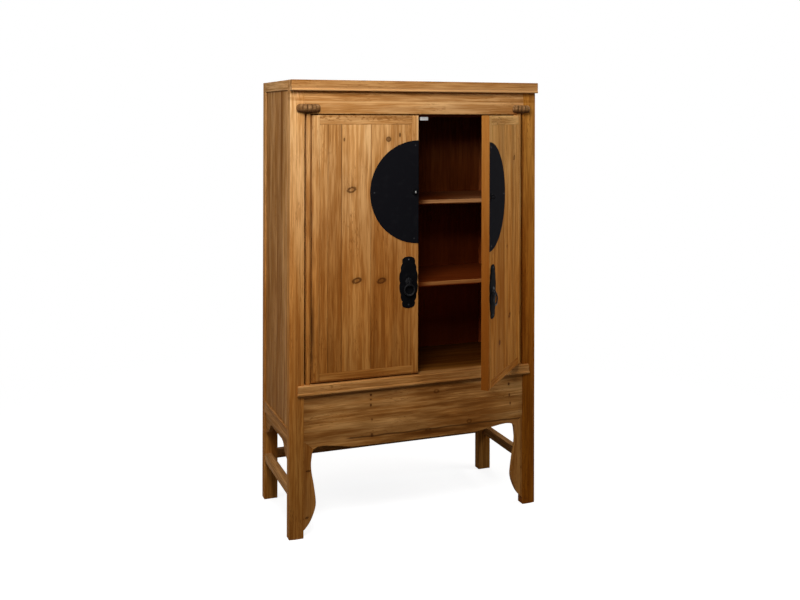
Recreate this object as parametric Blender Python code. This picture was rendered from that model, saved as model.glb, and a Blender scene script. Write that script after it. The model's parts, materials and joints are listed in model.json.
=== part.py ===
"""Two-door cabinet on legs: pegged frame, planked walls, doors that turn on wooden pins.

Metres, +Z up. X runs along the front, Y from front to back. The origin is on the floor,
in the middle of the four posts' footprint. The left door is shut and the right one stands open.
"""

import bpy
import bmesh
from math import acos, cos, pi, radians, sin, sqrt, tau

from mathutils import Matrix

# Whole object
WIDTH = 1.080
DEPTH = 0.476
HEIGHT = 1.800
SEAT = 0.0003             # gap left between faces that touch
EASE = 0.0015             # rounding along a bar's edges
TONGUE = 0.006            # how far a wall enters its groove
TENON_LONG = 0.018
TENON_SHARE = 0.5         # tenon section as a share of its bar
TENON_ROOT = 0.004        # part of a tenon that lies inside its own bar

# Posts and top
POST_WIDE = 0.058
POST_DEEP = 0.042
CORNICE_TALL = 0.043
CORNICE_REACH = 0.024     # how far the cornice stands before the posts
CORNICE_BEAD = 0.0045     # radius of the bead on its lower edge
BORDER_TALL = 0.086       # bevelled border of the front, from the top down
BORDER_DEEP = 0.0045
BORDER_SIDE = (0.020, 0.0035)           # width and depth of the border along the posts' outer edges
HEADER_TALL = 0.1345
HEADER_DEEP = 0.056
TOP_RAIL_TALL = 0.040
TOP_RAIL_WIDE = 0.040
TOP_PANEL_THICK = 0.014
TOP_PANEL_DROP = 0.010    # top panel's face below the rails' tops

# Walls and their rails
WALL_THICK = 0.015
WALL_RECESS = 0.006
PLANK_GROOVE = 0.0016     # half width and depth of the joint between two planks
SIDE_PLANKS = (0.08, 0.312, 0.51, 0.694, 0.834)    # joints, as shares of the depth between the posts
SIDE_RAIL_TOP = 0.425
SIDE_RAIL_TALL = 0.047
SIDE_RAIL_THICK = 0.035
BACK_THICK = 0.012
BACK_INSET = 0.020        # from the rear faces of the posts
BACK_PLANKS = 6
REAR_RAIL_THICK = 0.030
REAR_RAIL_INSET = 0.011

# Legs
STRETCHER_TALL = 0.036
STRETCHER_THICK = 0.029
SIDE_STRETCHER_FOOT = 0.162    # lower than the rear one, so that the mortises are staggered
REAR_STRETCHER_FOOT = 0.172
STRETCHER_INSET = 0.003
SIDE_APRON_THICK = 0.018
SIDE_APRON_FOOT = 0.351
SIDE_APRON_CURVE = ((0.0, 0.288), (0.030, 0.300), (0.062, 0.318), (0.076, 0.333), (0.083, 0.343),
                    (0.108, 0.351))

# Sill, apron and brackets; outlines are given as distance from the outer side, and height
SILL_TOP = 0.599
SILL_TALL = 0.043
SILL_REACH = 0.0125
SILL_LIP_INSET = 0.031
SILL_EDGE = 0.006
APRON_SETBACK = 0.004
APRON_THICK = 0.020
APRON_FOOT = 0.335
APRON_STRAIGHT = 0.274    # the level edge starts this far from the outer side
APRON_ARCH = ((0.252, 0.3365), (0.230, 0.341), (0.190, 0.347), (0.158, 0.3515), (0.134, 0.353),
              (0.113, 0.3505))
APRON_MEETS = (0.099, 0.344)
APRON_END = 0.378         # height of the apron's lower corner at the post
BRACKET_EDGE = ((0.099, 0.344), (0.094, 0.334), (0.0905, 0.310), (0.0885, 0.285), (0.091, 0.253),
                (0.100, 0.204), (0.108, 0.144), (0.106, 0.113), (0.094, 0.079), (0.080, 0.053),
                (0.062, 0.032))
BRACKET_THICK = 0.022

# Inside
SHELF_TOPS = {"upper_shelf": 1.309, "lower_shelf": 0.967}
SHELF_THICK = 0.018
SHELF_SETBACK = 0.048     # front edge, behind the posts' front
DADO = 0.005
FLOOR_TOP = 0.597
FLOOR_THICK = 0.018
LEDGER = 0.020
BOTTOM_THICK = 0.015

# Door pivots, from the outer side and from the posts' front
PIVOT_IN = 0.0757
PIVOT_BACK = 0.010
PIN_RADIUS = 0.005
PIN_LONG = 0.014
PIN_PLAY = 0.0003
STILE_RADIUS = 0.0098
STILE_FOOT_GAP = 0.0004
NECK_RISE = 0.006         # round neck of the stile above the header's underside
NOTCH_PLAY = 0.0012
BLOCK_LONG = 0.100
BLOCK_REACH = 0.035
BLOCK_TALL = 0.033
BLOCK_OUTWARD = 0.004     # block's middle, outward of the pivot axis
BLOCK_LOBES = 7
BLOCK_FLUTE = 0.10
TAIL_TALL = 0.023

# Doors, in a frame on the pivot axis: u towards the meeting line, v towards the back
LEAF_START = 0.0133
LEAF_FRONT = -0.012
LEAF_BACK = 0.020
MEETING_GAP = 0.002
DOOR_FOOT_GAP = 0.0065
DOOR_HEAD_GAP = 0.0045
HINGE_STILE = 0.031
MEETING_STILE = 0.028
DOOR_TOP_RAIL = 0.037
DOOR_FOOT_RAIL = 0.0345
DOOR_PANEL_THICK = 0.018
DOOR_PANEL_STEP = 0.0004
DOOR_PLANKS = (0.086, 0.230, 0.547)     # joints, as shares of the panel's width from the pivot side
SIDE_BEVEL = (0.013, 0.004)             # width and depth of the bevel by the pivot
END_BEVEL = (0.007, 0.003)
RIGHT_DOOR_OPEN = 47.0                  # degrees

# Door fittings
PLATE_THICK = 0.002
DISC_RADIUS = 0.2105
DISC_HEIGHT = 1.3485
LUG_BASE_RADIUS = 0.015
LUG_BASE_THICK = 0.003
LUG_REACH = 0.009         # hole's middle, before the disc
LUG_ROUND = 0.0085
LUG_THICK = 0.006
LUG_HOLE = 0.0042
LUG_EDGE = 0.018          # lock lug's middle, from the door's free edge
HANDLE_EDGE = 0.043       # plate's middle, from the door's free edge
HANDLE_BELOW = 0.0525     # gap between the disc and the plate
HANDLE_HALF_TALL = 0.1055
HANDLE_LOBES = ((-0.0195, 0.0205, 0.0600), (0.0040, 0.0568, 0.0300),
                (0.0100, 0.0855, 0.0185))    # across, up, radius
HANDLE_TIP = (0.010, 0.100)             # half width of the tip's foot, and its height
EYE_RISE = 0.004          # eye's base above the plate's middle
EYE_DROP = 0.012          # hole below the middle of its base
EYE_RADIUS = 0.0125
EYE_THICK = 0.003
EYE_HOLE = 0.004
EYE_REACH = 0.0105        # hole's middle, before the plate
EYE_ROUND = 0.007
EYE_LUG_THICK = 0.006
RING_RADIUS = 0.0215
RING_WIRE = 0.0033
STOP_FRONT = 0.034        # from the posts' front
STOP_DEEP = 0.022
STOP_TALL = 0.0105
CATCH_SIZE = (0.036, 0.018, 0.014)
CATCH_IN = 0.019          # catch's near end, from the meeting line
CATCH_PULL = 0.0006       # gap from catch to strike plate when the door is shut
STRIKE_THICK = 0.0012

# Levels and planes that follow from the sizes above
X_OUT = WIDTH / 2
X_IN = X_OUT - POST_WIDE
Y_FRONT = -DEPTH / 2
Y_BACK = DEPTH / 2
Y_POST = Y_BACK - POST_DEEP
CORNICE_FOOT = HEIGHT - CORNICE_TALL
BORDER_FOOT = HEIGHT - BORDER_TALL
HEADER_FOOT = HEIGHT - HEADER_TALL
HEADER_REAR = Y_FRONT + HEADER_DEEP
TOP_RAIL_FOOT = HEIGHT - TOP_RAIL_TALL
SIDE_RAIL_FOOT = SIDE_RAIL_TOP - SIDE_RAIL_TALL
WALL_OUT = X_OUT - WALL_RECESS
WALL_IN = WALL_OUT - WALL_THICK
REAR_RAIL_REAR = Y_BACK - REAR_RAIL_INSET
REAR_RAIL_FRONT = REAR_RAIL_REAR - REAR_RAIL_THICK
BACK_REAR = Y_BACK - BACK_INSET
BACK_FRONT = BACK_REAR - BACK_THICK
SILL_FOOT = SILL_TOP - SILL_TALL
APRON_FRONT = Y_FRONT + APRON_SETBACK
APRON_REAR = APRON_FRONT + APRON_THICK
PIVOT_X = X_OUT - PIVOT_IN
PIVOT_Y = Y_FRONT + PIVOT_BACK
NECK_TOP = HEADER_FOOT + NECK_RISE
BLOCK_FOOT = NECK_TOP + 2 * SEAT
DOOR_FOOT = SILL_TOP + DOOR_FOOT_GAP
DOOR_HEAD = HEADER_FOOT - DOOR_HEAD_GAP
LEAF_END = PIVOT_X - MEETING_GAP / 2
MEETING_U = PIVOT_X
HANDLE_HEIGHT = DISC_HEIGHT - DISC_RADIUS - HANDLE_BELOW - HANDLE_HALF_TALL

# Colours: red, green, blue, roughness, metallic
WOOD = (0.46, 0.25, 0.09, 0.55, 0.0)
INNER_WOOD = (0.20, 0.08, 0.03, 0.60, 0.0)
BLOCK_WOOD = (0.30, 0.18, 0.09, 0.60, 0.0)
BLACK_IRON = (0.012, 0.012, 0.014, 0.45, 0.6)
PALE_STEEL = (0.72, 0.72, 0.70, 0.35, 0.9)

SIDES = (("left", -1), ("right", 1))


def clear_scene():
    """Remove whatever the file holds."""
    for obj in list(bpy.data.objects):
        bpy.data.objects.remove(obj, do_unlink=True)


def finish(name, colour):
    """Principled material with one colour, roughness and metallic value."""
    material = bpy.data.materials.new(name)
    material.use_nodes = True
    shader = material.node_tree.nodes["Principled BSDF"]
    shader.inputs["Base Color"].default_value = (*colour[:3], 1.0)
    shader.inputs["Roughness"].default_value = colour[3]
    shader.inputs["Metallic"].default_value = colour[4]
    return material


def make_object(name, bm, colour, parent=None):
    """Turn a closed bmesh, built in its parent's frame, into an object with its origin in the middle."""
    bmesh.ops.recalc_face_normals(bm, faces=bm.faces)
    corners = [v.co for v in bm.verts]
    middle = [(min(c[i] for c in corners) + max(c[i] for c in corners)) / 2 for i in range(3)]
    bmesh.ops.translate(bm, vec=[-m for m in middle], verts=bm.verts)
    mesh = bpy.data.meshes.new(name)
    bm.to_mesh(mesh)
    bm.free()
    mesh.shade_smooth()
    mesh.set_sharp_from_angle(angle=radians(35))
    obj = bpy.data.objects.new(name, mesh)
    obj.location = middle
    obj.parent = parent
    bpy.context.collection.objects.link(obj)
    if colour is None:
        obj.hide_render = True
        obj.display_type = "WIRE"
    else:
        mesh.materials.append(finish(name, colour))
    return obj


def block(name, lo, hi, colour=None, along=None, parent=None):
    """Box between two corners; the edges that run along axis `along` are eased."""
    bm = bmesh.new()
    bmesh.ops.create_cube(bm, size=1.0)
    bmesh.ops.scale(bm, vec=[b - a for a, b in zip(lo, hi)], verts=bm.verts)
    bmesh.ops.translate(bm, vec=[(a + b) / 2 for a, b in zip(lo, hi)], verts=bm.verts)
    if along is not None:
        edges = [e for e in bm.edges if abs((e.verts[0].co - e.verts[1].co)[along]) > e.calc_length() / 2]
        bmesh.ops.bevel(bm, geom=edges, offset=EASE, segments=2, profile=0.5, affect="EDGES")
    return make_object(name, bm, colour, parent)


def loft(name, rings, colour=None, parent=None):
    """Solid through closed rings of equally many points, capped at the first and the last ring."""
    bm = bmesh.new()
    rows = [[bm.verts.new(point) for point in ring] for ring in rings]
    count = len(rows[0])
    for low, high in zip(rows, rows[1:]):
        for i in range(count):
            j = (i + 1) % count
            bm.faces.new((low[i], low[j], high[j], high[i]))
    bm.faces.new(rows[0])
    bm.faces.new(rows[-1])
    return make_object(name, bm, colour, parent)


def prism(name, outline, axis, start, end, colour=None, parent=None):
    """Solid with a flat outline in the two axes other than `axis`, from start to end along it."""
    def ring(level):
        return [tuple([*point[:axis], level, *point[axis:]]) for point in outline]
    return loft(name, (ring(start), ring(end)), colour, parent)


def cylinder(name, centre, radius, lo, hi, axis, colour=None, parent=None, count=24):
    """Round bar along an axis; centre gives the other two coordinates."""
    outline = [(centre[0] + radius * cos(tau * i / count), centre[1] + radius * sin(tau * i / count))
               for i in range(count)]
    return prism(name, outline, axis, lo, hi, colour, parent)


def boolean(target, tool, operation):
    """Cut a hidden tool from a piece, or join it to the piece."""
    modifier = target.modifiers.new(tool.name, "BOOLEAN")
    modifier.operation = operation
    modifier.solver = "EXACT"
    modifier.object = tool


def cut(target, tool):
    boolean(target, tool, "DIFFERENCE")


def fuse(target, tool):
    boolean(target, tool, "UNION")


def grown(lo, hi, by=SEAT):
    """A box enlarged on every side."""
    return [a - by for a in lo], [b + by for b in hi]


def sided(side, lo, hi):
    """A box given for +X, mirrored for side -1."""
    if side > 0:
        return list(lo), list(hi)
    return [-hi[0], lo[1], lo[2]], [-lo[0], hi[1], hi[2]]


def house(piece_name, lo, hi, hosts):
    """Cut one groove, a little larger than the piece's box, into every host."""
    tool = block(piece_name + "_groove", *grown(lo, hi))
    for host in hosts:
        cut(host, tool)


def add_tenons(bar, lo, hi, along, hosts, core=None, parent=None):
    """Join a tenon to each end of a bar and cut its mortise into the piece it enters.

    core is the tenon's section as a box; without it the tenon is the middle of the bar's section.
    """
    if core is None:
        inset = [(b - a) * (1 - TENON_SHARE) / 2 for a, b in zip(lo, hi)]
        core = [a + s for a, s in zip(lo, inset)], [b - s for b, s in zip(hi, inset)]
    ends = ((lo[along] - TENON_LONG, lo[along] + TENON_ROOT),
            (hi[along] - TENON_ROOT, hi[along] + TENON_LONG))
    for number, (end, host) in enumerate(zip(ends, hosts)):
        tenon_lo = list(core[0])
        tenon_hi = list(core[1])
        tenon_lo[along], tenon_hi[along] = end
        fuse(bar, block(f"{bar.name}_tenon_{number}", tenon_lo, tenon_hi, parent=parent))
        cut(host, block(f"{bar.name}_mortise_{number}", *grown(tenon_lo, tenon_hi), parent=parent))


def rail(name, lo, hi, along, hosts, colour=WOOD):
    """Eased bar, tenoned at both ends into its two hosts."""
    bar = block(name, lo, hi, colour, along)
    add_tenons(bar, lo, hi, along, hosts)
    return bar


def smooth(points, steps=4):
    """Points of a Catmull-Rom curve through the given ones."""
    padded = [points[0], *points, points[-1]]
    curve = []
    for p0, p1, p2, p3 in zip(padded, padded[1:], padded[2:], padded[3:]):
        for k in range(steps):
            t = k / steps
            curve.append(tuple(
                0.5 * (2 * b + (c - a) * t + (2 * a - 5 * b + 4 * c - d) * t ** 2
                       + (3 * b - a - 3 * c + d) * t ** 3)
                for a, b, c, d in zip(p0, p1, p2, p3)))
    curve.append(tuple(points[-1]))
    return curve


def planked_outline(start, end, face, rear, joints):
    """Section of a board, face to rear, with a V groove in its face at every plank joint."""
    towards = PLANK_GROOVE if rear > face else -PLANK_GROOVE
    outline = [(start, face)]
    for joint in joints:
        outline += [(joint - PLANK_GROOVE, face), (joint, face + towards), (joint + PLANK_GROOVE, face)]
    return outline + [(end, face), (end, rear), (start, rear)]


def board_outline(wide, narrow, front, back, front_notch=None, back_notch=None):
    """Plan of a board, 2 * wide across, notched to 2 * narrow around posts at its front and back."""
    half = []
    if front_notch is None:
        half.append((wide, front))
    else:
        half += [(narrow, front), (narrow, front_notch), (wide, front_notch)]
    if back_notch is None:
        half.append((wide, back))
    else:
        half += [(wide, back_notch), (narrow, back_notch), (narrow, back)]
    return half + [(-x, y) for x, y in reversed(half)]


def side_border(side_name, side):
    """Cutter that bevels the outer front edge of one front post."""
    wide, deep = BORDER_SIDE
    plan = [(X_OUT - wide, Y_FRONT), (X_OUT, Y_FRONT + deep), (X_OUT + deep, Y_FRONT + deep),
            (X_OUT + deep, Y_FRONT - deep), (X_OUT - wide, Y_FRONT - deep)]
    return prism(f"{side_name}_border_side", [(side * x, y) for x, y in plan], 2, -deep, HEIGHT + deep)


def top_border(side_name, side):
    """Cutter that bevels the top of one front post and makes room for the cornice."""
    rear = Y_FRONT + BORDER_DEEP
    before = Y_FRONT - BORDER_DEEP
    over = HEIGHT + BORDER_DEEP
    section = [(Y_FRONT, BORDER_FOOT), (rear, CORNICE_FOOT), (rear, over), (before, over),
               (before, BORDER_FOOT)]
    ends = sorted((side * (X_IN - BORDER_DEEP), side * (X_OUT + BORDER_DEEP)))
    return prism(f"{side_name}_border_top", section, 0, *ends)


def make_posts():
    """Four corner posts; the front ones have a bevelled border, mitred where it turns under the cornice."""
    posts = {}
    for side_name, side in SIDES:
        for end_name, near, far in (("front", Y_FRONT, -Y_POST), ("rear", Y_POST, Y_BACK)):
            lo, hi = sided(side, (X_IN, near, 0.0), (X_OUT, far, HEIGHT))
            posts[end_name, side_name] = block(f"{end_name}_{side_name}_post", lo, hi, WOOD, along=2)
        cut(posts["front", side_name], side_border(side_name, side))
        cut(posts["front", side_name], top_border(side_name, side))
    return posts


def make_header(posts):
    """Beam over the doors: a flat band, with the bevelled border above it, as one section along X."""
    rear = Y_FRONT + BORDER_DEEP
    outline = [(Y_FRONT + EASE, HEADER_FOOT), (Y_FRONT, HEADER_FOOT + EASE), (Y_FRONT, BORDER_FOOT),
               (rear, CORNICE_FOOT), (rear, HEIGHT), (HEADER_REAR, HEIGHT), (HEADER_REAR, HEADER_FOOT)]
    header = prism("header_rail", outline, 0, -X_IN + SEAT, X_IN - SEAT, WOOD)
    lo = (-X_IN + SEAT, Y_FRONT, HEADER_FOOT)
    hi = (X_IN - SEAT, -Y_POST, HEIGHT)
    inset = POST_DEEP / 4
    core = ((lo[0], lo[1] + inset, BORDER_FOOT), (hi[0], hi[1] - inset, CORNICE_FOOT))
    add_tenons(header, lo, hi, 0, (posts["front", "left"], posts["front", "right"]), core)
    return header


def make_cornice():
    """Moulding across the top of the front, with a bead along its lower edge."""
    front = Y_FRONT - CORNICE_REACH
    rear = Y_FRONT + BORDER_DEEP - SEAT
    flat = front + CORNICE_BEAD / 2
    outline = [(rear, HEIGHT), (rear, CORNICE_FOOT)]
    for k in range(9):
        turn = pi * (k / 8 - 0.5)
        outline.append((front + CORNICE_BEAD * (1 - cos(turn)),
                        CORNICE_FOOT + CORNICE_BEAD * (1 + sin(turn))))
    outline += [(flat + CORNICE_BEAD / 2, CORNICE_FOOT + 2 * CORNICE_BEAD + EASE / 2),
                (flat, CORNICE_FOOT + 3 * CORNICE_BEAD), (flat, HEIGHT - EASE), (flat + EASE, HEIGHT)]
    prism("cornice", outline, 0, -X_OUT, X_OUT, WOOD)


def make_top(posts, header):
    """Side and rear top rails, and the panel that lies in grooves of all four."""
    rails = []
    for side_name, side in SIDES:
        lo, hi = sided(side, (X_OUT - TOP_RAIL_WIDE, -Y_POST + SEAT, TOP_RAIL_FOOT),
                       (X_OUT, Y_POST - SEAT, HEIGHT))
        hosts = (posts["front", side_name], posts["rear", side_name])
        rails.append(rail(f"{side_name}_top_rail", lo, hi, 1, hosts))
    rear = rail("rear_top_rail", (-X_IN + SEAT, REAR_RAIL_FRONT, TOP_RAIL_FOOT),
                (X_IN - SEAT, REAR_RAIL_REAR, HEIGHT), 0, (posts["rear", "left"], posts["rear", "right"]))
    wide = X_OUT - TOP_RAIL_WIDE + TONGUE
    front = HEADER_REAR - TONGUE
    back = REAR_RAIL_FRONT + TONGUE
    top = HEIGHT - TOP_PANEL_DROP
    outline = board_outline(wide, X_IN - 2 * SEAT, front, back, back_notch=Y_POST - 2 * SEAT)
    prism("top_panel", outline, 2, top - TOP_PANEL_THICK, top, WOOD)
    house("top_panel", (-wide, front, top - TOP_PANEL_THICK), (wide, back, top), (header, *rails, rear))
    return rails, rear


def make_walls(posts, top_rails, rear_top_rail):
    """Side rails, rear rail and the planked walls that stand in grooves of rails and posts."""
    panels = []
    for (side_name, side), top_rail in zip(SIDES, top_rails):
        front = posts["front", side_name]
        rear = posts["rear", side_name]
        lo, hi = sided(side, (X_OUT - SIDE_RAIL_THICK, -Y_POST + SEAT, SIDE_RAIL_FOOT),
                       (X_OUT, Y_POST - SEAT, SIDE_RAIL_TOP))
        side_rail = rail(f"{side_name}_side_rail", lo, hi, 1, (front, rear))
        lo, hi = sided(side, (WALL_IN, -Y_POST - TONGUE, SIDE_RAIL_TOP - TONGUE),
                       (WALL_OUT, Y_POST + TONGUE, TOP_RAIL_FOOT + TONGUE))
        joints = [Y_POST * (2 * share - 1) for share in SIDE_PLANKS]
        section = planked_outline(lo[1], hi[1], side * WALL_OUT, side * WALL_IN, joints)
        outline = [(x, y) for y, x in section]
        panels.append(prism(f"{side_name}_side_panel", outline, 2, lo[2], hi[2], WOOD))
        house(panels[-1].name, lo, hi, (front, rear, side_rail, top_rail))
    rear_posts = (posts["rear", "left"], posts["rear", "right"])
    rear_rail = rail("rear_rail", (-X_IN + SEAT, REAR_RAIL_FRONT, SIDE_RAIL_FOOT),
                     (X_IN - SEAT, REAR_RAIL_REAR, SIDE_RAIL_TOP), 0, rear_posts)
    lo = (-X_IN - TONGUE, BACK_FRONT, SIDE_RAIL_TOP - TONGUE)
    hi = (X_IN + TONGUE, BACK_REAR, TOP_RAIL_FOOT + TONGUE)
    joints = [lo[0] + (hi[0] - lo[0]) * k / BACK_PLANKS for k in range(1, BACK_PLANKS)]
    outline = planked_outline(lo[0], hi[0], BACK_REAR, BACK_FRONT, joints)
    prism("back_panel", outline, 2, lo[2], hi[2], INNER_WOOD)
    house("back_panel", lo, hi, (*rear_posts, rear_rail, rear_top_rail))
    return panels


def make_inside(panels):
    """Shelves and floor in dados of the side walls, the floor's ledger, and the hidden space's bottom."""
    narrow = X_IN - SEAT
    wide = WALL_IN + DADO
    back = BACK_FRONT - SEAT
    notch = Y_POST - SEAT
    boards = [(name, top, SHELF_THICK, Y_FRONT + SHELF_SETBACK) for name, top in SHELF_TOPS.items()]
    boards.append(("floor_board", FLOOR_TOP, FLOOR_THICK, -Y_POST + SEAT))
    for name, top, thick, front in boards:
        outline = board_outline(wide, narrow, front, back, back_notch=notch)
        prism(name, outline, 2, top - thick, top, INNER_WOOD)
        house(name, (-wide, front, top - thick), (wide, back, top), panels)
    block("floor_ledger", (-narrow, -Y_POST + SEAT, SILL_FOOT),
          (narrow, -Y_POST + LEDGER, FLOOR_TOP - FLOOR_THICK - SEAT), INNER_WOOD, along=0)
    outline = board_outline(WALL_IN - SEAT, narrow, APRON_REAR + SEAT, back, -Y_POST + SEAT, notch)
    foot = SIDE_RAIL_TOP + SEAT
    prism("bottom_board", outline, 2, foot, foot + BOTTOM_THICK, INNER_WOOD)


def make_sill(posts):
    """Moulded rail under the doors; its lip runs on in front of the posts."""
    lip = X_OUT - SILL_LIP_INSET
    front = Y_FRONT - SILL_REACH
    wide = X_IN - SEAT
    level = Y_FRONT - SEAT
    steps = ((SILL_FOOT, SILL_EDGE), (SILL_FOOT + SILL_EDGE, 0.0), (SILL_FOOT + 2 * SILL_EDGE, 0.0),
             (SILL_FOOT + 2.4 * SILL_EDGE, SILL_EDGE / 3), (SILL_TOP - SILL_EDGE / 2, SILL_EDGE / 3),
             (SILL_TOP, 2 * SILL_EDGE / 3))
    rings = []
    for height, inset in steps:
        half = [(lip - inset, front + inset), (lip - inset, level), (wide, level), (wide, -Y_POST)]
        rings.append([(x, y, height) for x, y in half + [(-x, y) for x, y in reversed(half)]])
    sill = loft("sill_rail", rings, WOOD)
    lo = (-wide, Y_FRONT, SILL_FOOT)
    hi = (wide, -Y_POST, SILL_TOP)
    add_tenons(sill, lo, hi, 0, (posts["front", "left"], posts["front", "right"]))
    for side_name, side in SIDES:
        hole = cylinder(f"{side_name}_sill_hole", (side * PIVOT_X, PIVOT_Y), PIN_RADIUS + PIN_PLAY,
                        SILL_TOP - PIN_LONG - SEAT, SILL_TOP + EASE, 2)
        cut(sill, hole)


def make_apron(posts):
    """Deep board under the sill, with a small arch at each end, and the curved brackets below it."""
    edge = smooth([(APRON_STRAIGHT, APRON_FOOT), *APRON_ARCH, APRON_MEETS])
    half = [(X_OUT - d, z) for d, z in edge]
    half += [(X_IN - SEAT, APRON_END), (X_IN - SEAT, SILL_FOOT - SEAT)]
    outline = half + [(-x, z) for x, z in reversed(half)]
    apron = prism("front_apron", outline, 1, APRON_FRONT, APRON_REAR, WOOD)
    lo = (-X_IN + SEAT, APRON_FRONT, APRON_END)
    hi = (X_IN - SEAT, APRON_REAR, SILL_FOOT)
    add_tenons(apron, lo, hi, 0, (posts["front", "left"], posts["front", "right"]))
    foot = BRACKET_EDGE[-1][1]
    for side_name, side in SIDES:
        edge = [(X_OUT - d, z - 2 * SEAT) for d, z in smooth(BRACKET_EDGE)]
        points = [(X_IN - SEAT, APRON_END - 2 * SEAT), *edge, (X_IN - SEAT, foot - 2 * EASE)]
        outline = [(side * x, z) for x, z in points]
        prism(f"{side_name}_bracket", outline, 1, APRON_FRONT, APRON_FRONT + BRACKET_THICK, WOOD)


def make_legs(posts):
    """Arched side aprons and the stretchers between the legs."""
    for side_name, side in SIDES:
        hosts = (posts["front", side_name], posts["rear", side_name])
        end = Y_POST - SEAT
        curve = [(-end + d, z) for d, z in smooth(SIDE_APRON_CURVE)]
        outline = curve + [(-y, z) for y, z in reversed(curve)]
        outline += [(end, SIDE_RAIL_FOOT - SEAT), (-end, SIDE_RAIL_FOOT - SEAT)]
        lo, hi = sided(side, (WALL_OUT - SIDE_APRON_THICK, -end, SIDE_APRON_FOOT),
                       (WALL_OUT, end, SIDE_RAIL_FOOT))
        apron = prism(f"{side_name}_side_apron", outline, 0, lo[0], hi[0], WOOD)
        add_tenons(apron, lo, hi, 1, hosts)
        outer = X_OUT - STRETCHER_INSET
        lo, hi = sided(side, (outer - STRETCHER_THICK, -end, SIDE_STRETCHER_FOOT),
                       (outer, end, SIDE_STRETCHER_FOOT + STRETCHER_TALL))
        rail(f"{side_name}_stretcher", lo, hi, 1, hosts)
    rail("rear_stretcher", (-X_IN + SEAT, REAR_RAIL_FRONT, REAR_STRETCHER_FOOT),
         (X_IN - SEAT, REAR_RAIL_REAR, REAR_STRETCHER_FOOT + STRETCHER_TALL), 0,
         (posts["rear", "left"], posts["rear", "right"]))


def make_pivot_blocks(header):
    """Lobed blocks in front of the header's ends; the tail of each holds a door's upper pin."""
    for side_name, side in SIDES:
        middle = side * (PIVOT_X + BLOCK_OUTWARD)
        rear = Y_FRONT - SEAT
        outline = []
        count = BLOCK_LOBES * 6
        for k in range(count + 1):
            turn = pi * k / count
            swell = 1 - BLOCK_FLUTE * (1 - abs(sin(BLOCK_LOBES * turn)))
            outline.append((cos(turn) * swell * BLOCK_LONG / 2, -sin(turn) * swell * BLOCK_REACH))
        rings = []
        for level, scale in ((0.0, 0.86), (0.12, 0.96), (0.3, 1.0), (0.7, 1.0), (0.88, 0.96), (1.0, 0.86)):
            height = BLOCK_FOOT + level * BLOCK_TALL
            rings.append([(middle + x * scale, rear + y * scale, height) for x, y in outline])
        piece = loft(f"{side_name}_pivot_block", rings, BLOCK_WOOD)
        half = STILE_RADIUS + NOTCH_PLAY
        tail_rear = PIVOT_Y + STILE_RADIUS
        lo, hi = sided(side, (PIVOT_X - half, rear - BLOCK_REACH / 3, BLOCK_FOOT),
                       (PIVOT_X + half, tail_rear, BLOCK_FOOT + TAIL_TALL))
        fuse(piece, block(f"{side_name}_block_tail", lo, hi))
        notch_lo, notch_hi = grown(lo, hi)
        notch_lo[2] = HEADER_FOOT - EASE
        cut(header, block(f"{side_name}_header_notch", notch_lo, notch_hi))
        cut(piece, cylinder(f"{side_name}_block_hole", (side * PIVOT_X, PIVOT_Y), PIN_RADIUS + PIN_PLAY,
                            BLOCK_FOOT - EASE, NECK_TOP + PIN_LONG + SEAT, 2))


def make_stop():
    """Strip under the header behind the doors, and the two catches on it."""
    front = Y_FRONT + STOP_FRONT
    foot = HEADER_FOOT - SEAT - STOP_TALL
    block("door_stop", (-X_IN + SEAT, front, foot), (X_IN - SEAT, front + STOP_DEEP, HEADER_FOOT - SEAT),
          INNER_WOOD, along=0)
    near = PIVOT_Y + LEAF_BACK + SEAT + STRIKE_THICK + CATCH_PULL
    for side_name, side in SIDES:
        lo, hi = sided(side, (CATCH_IN, near, foot - SEAT - CATCH_SIZE[2]),
                       (CATCH_IN + CATCH_SIZE[0], near + CATCH_SIZE[1], foot - SEAT))
        block(f"{side_name}_catch", lo, hi, PALE_STEEL, along=2)


def door_frame(side_name, side):
    """Empty on a door's pivot axis, turned as the door stands."""
    frame = bpy.data.objects.new(f"{side_name}_door_axis", None)
    frame.location = (side * PIVOT_X, PIVOT_Y, 0.0)
    if side > 0:
        frame.rotation_euler[2] = radians(RIGHT_DOOR_OPEN)
    bpy.context.collection.objects.link(frame)
    return frame


def make_pivot_stile(side_name, side, frame):
    """Round-fronted strip beside the leaf, with a neck and a pin at its top and a pin at its foot."""
    reach = LEAF_START - SEAT
    turns = [pi * (1 + k / 12) for k in range(13)]
    outline = [(STILE_RADIUS * cos(turn), STILE_RADIUS * sin(turn)) for turn in turns]
    outline += [(reach, STILE_RADIUS / 4), (reach, LEAF_BACK), (-STILE_RADIUS, LEAF_BACK)]
    outline = [(-side * u, v) for u, v in outline]
    foot = SILL_TOP + STILE_FOOT_GAP
    head = HEADER_FOOT - 2 * SEAT
    stile = prism(f"{side_name}_pivot_stile", outline, 2, foot, head, WOOD, frame)
    rounds = (("neck", STILE_RADIUS - SEAT, head - EASE, NECK_TOP),
              ("upper_pin", PIN_RADIUS, head, NECK_TOP + PIN_LONG),
              ("lower_pin", PIN_RADIUS, SILL_TOP - PIN_LONG, foot + EASE))
    for name, radius, low, high in rounds:
        fuse(stile, cylinder(f"{side_name}_{name}", (0.0, 0.0), radius, low, high, 2, parent=frame))


def end_wedges(side_name, frame):
    """Cutters that bevel the leaf's front along its top and its foot."""
    wide, deep = END_BEVEL
    wedges = []
    for name, edge, inward in (("head", DOOR_HEAD, -1), ("foot", DOOR_FOOT, 1)):
        outline = [(LEAF_FRONT, edge + inward * wide), (LEAF_FRONT + deep, edge),
                   (LEAF_FRONT + deep, edge - inward * deep), (LEAF_FRONT - deep, edge - inward * deep),
                   (LEAF_FRONT - deep, edge + inward * wide)]
        wedges.append(prism(f"{side_name}_{name}_wedge", outline, 0, -WIDTH, WIDTH, parent=frame))
    return wedges


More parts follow.
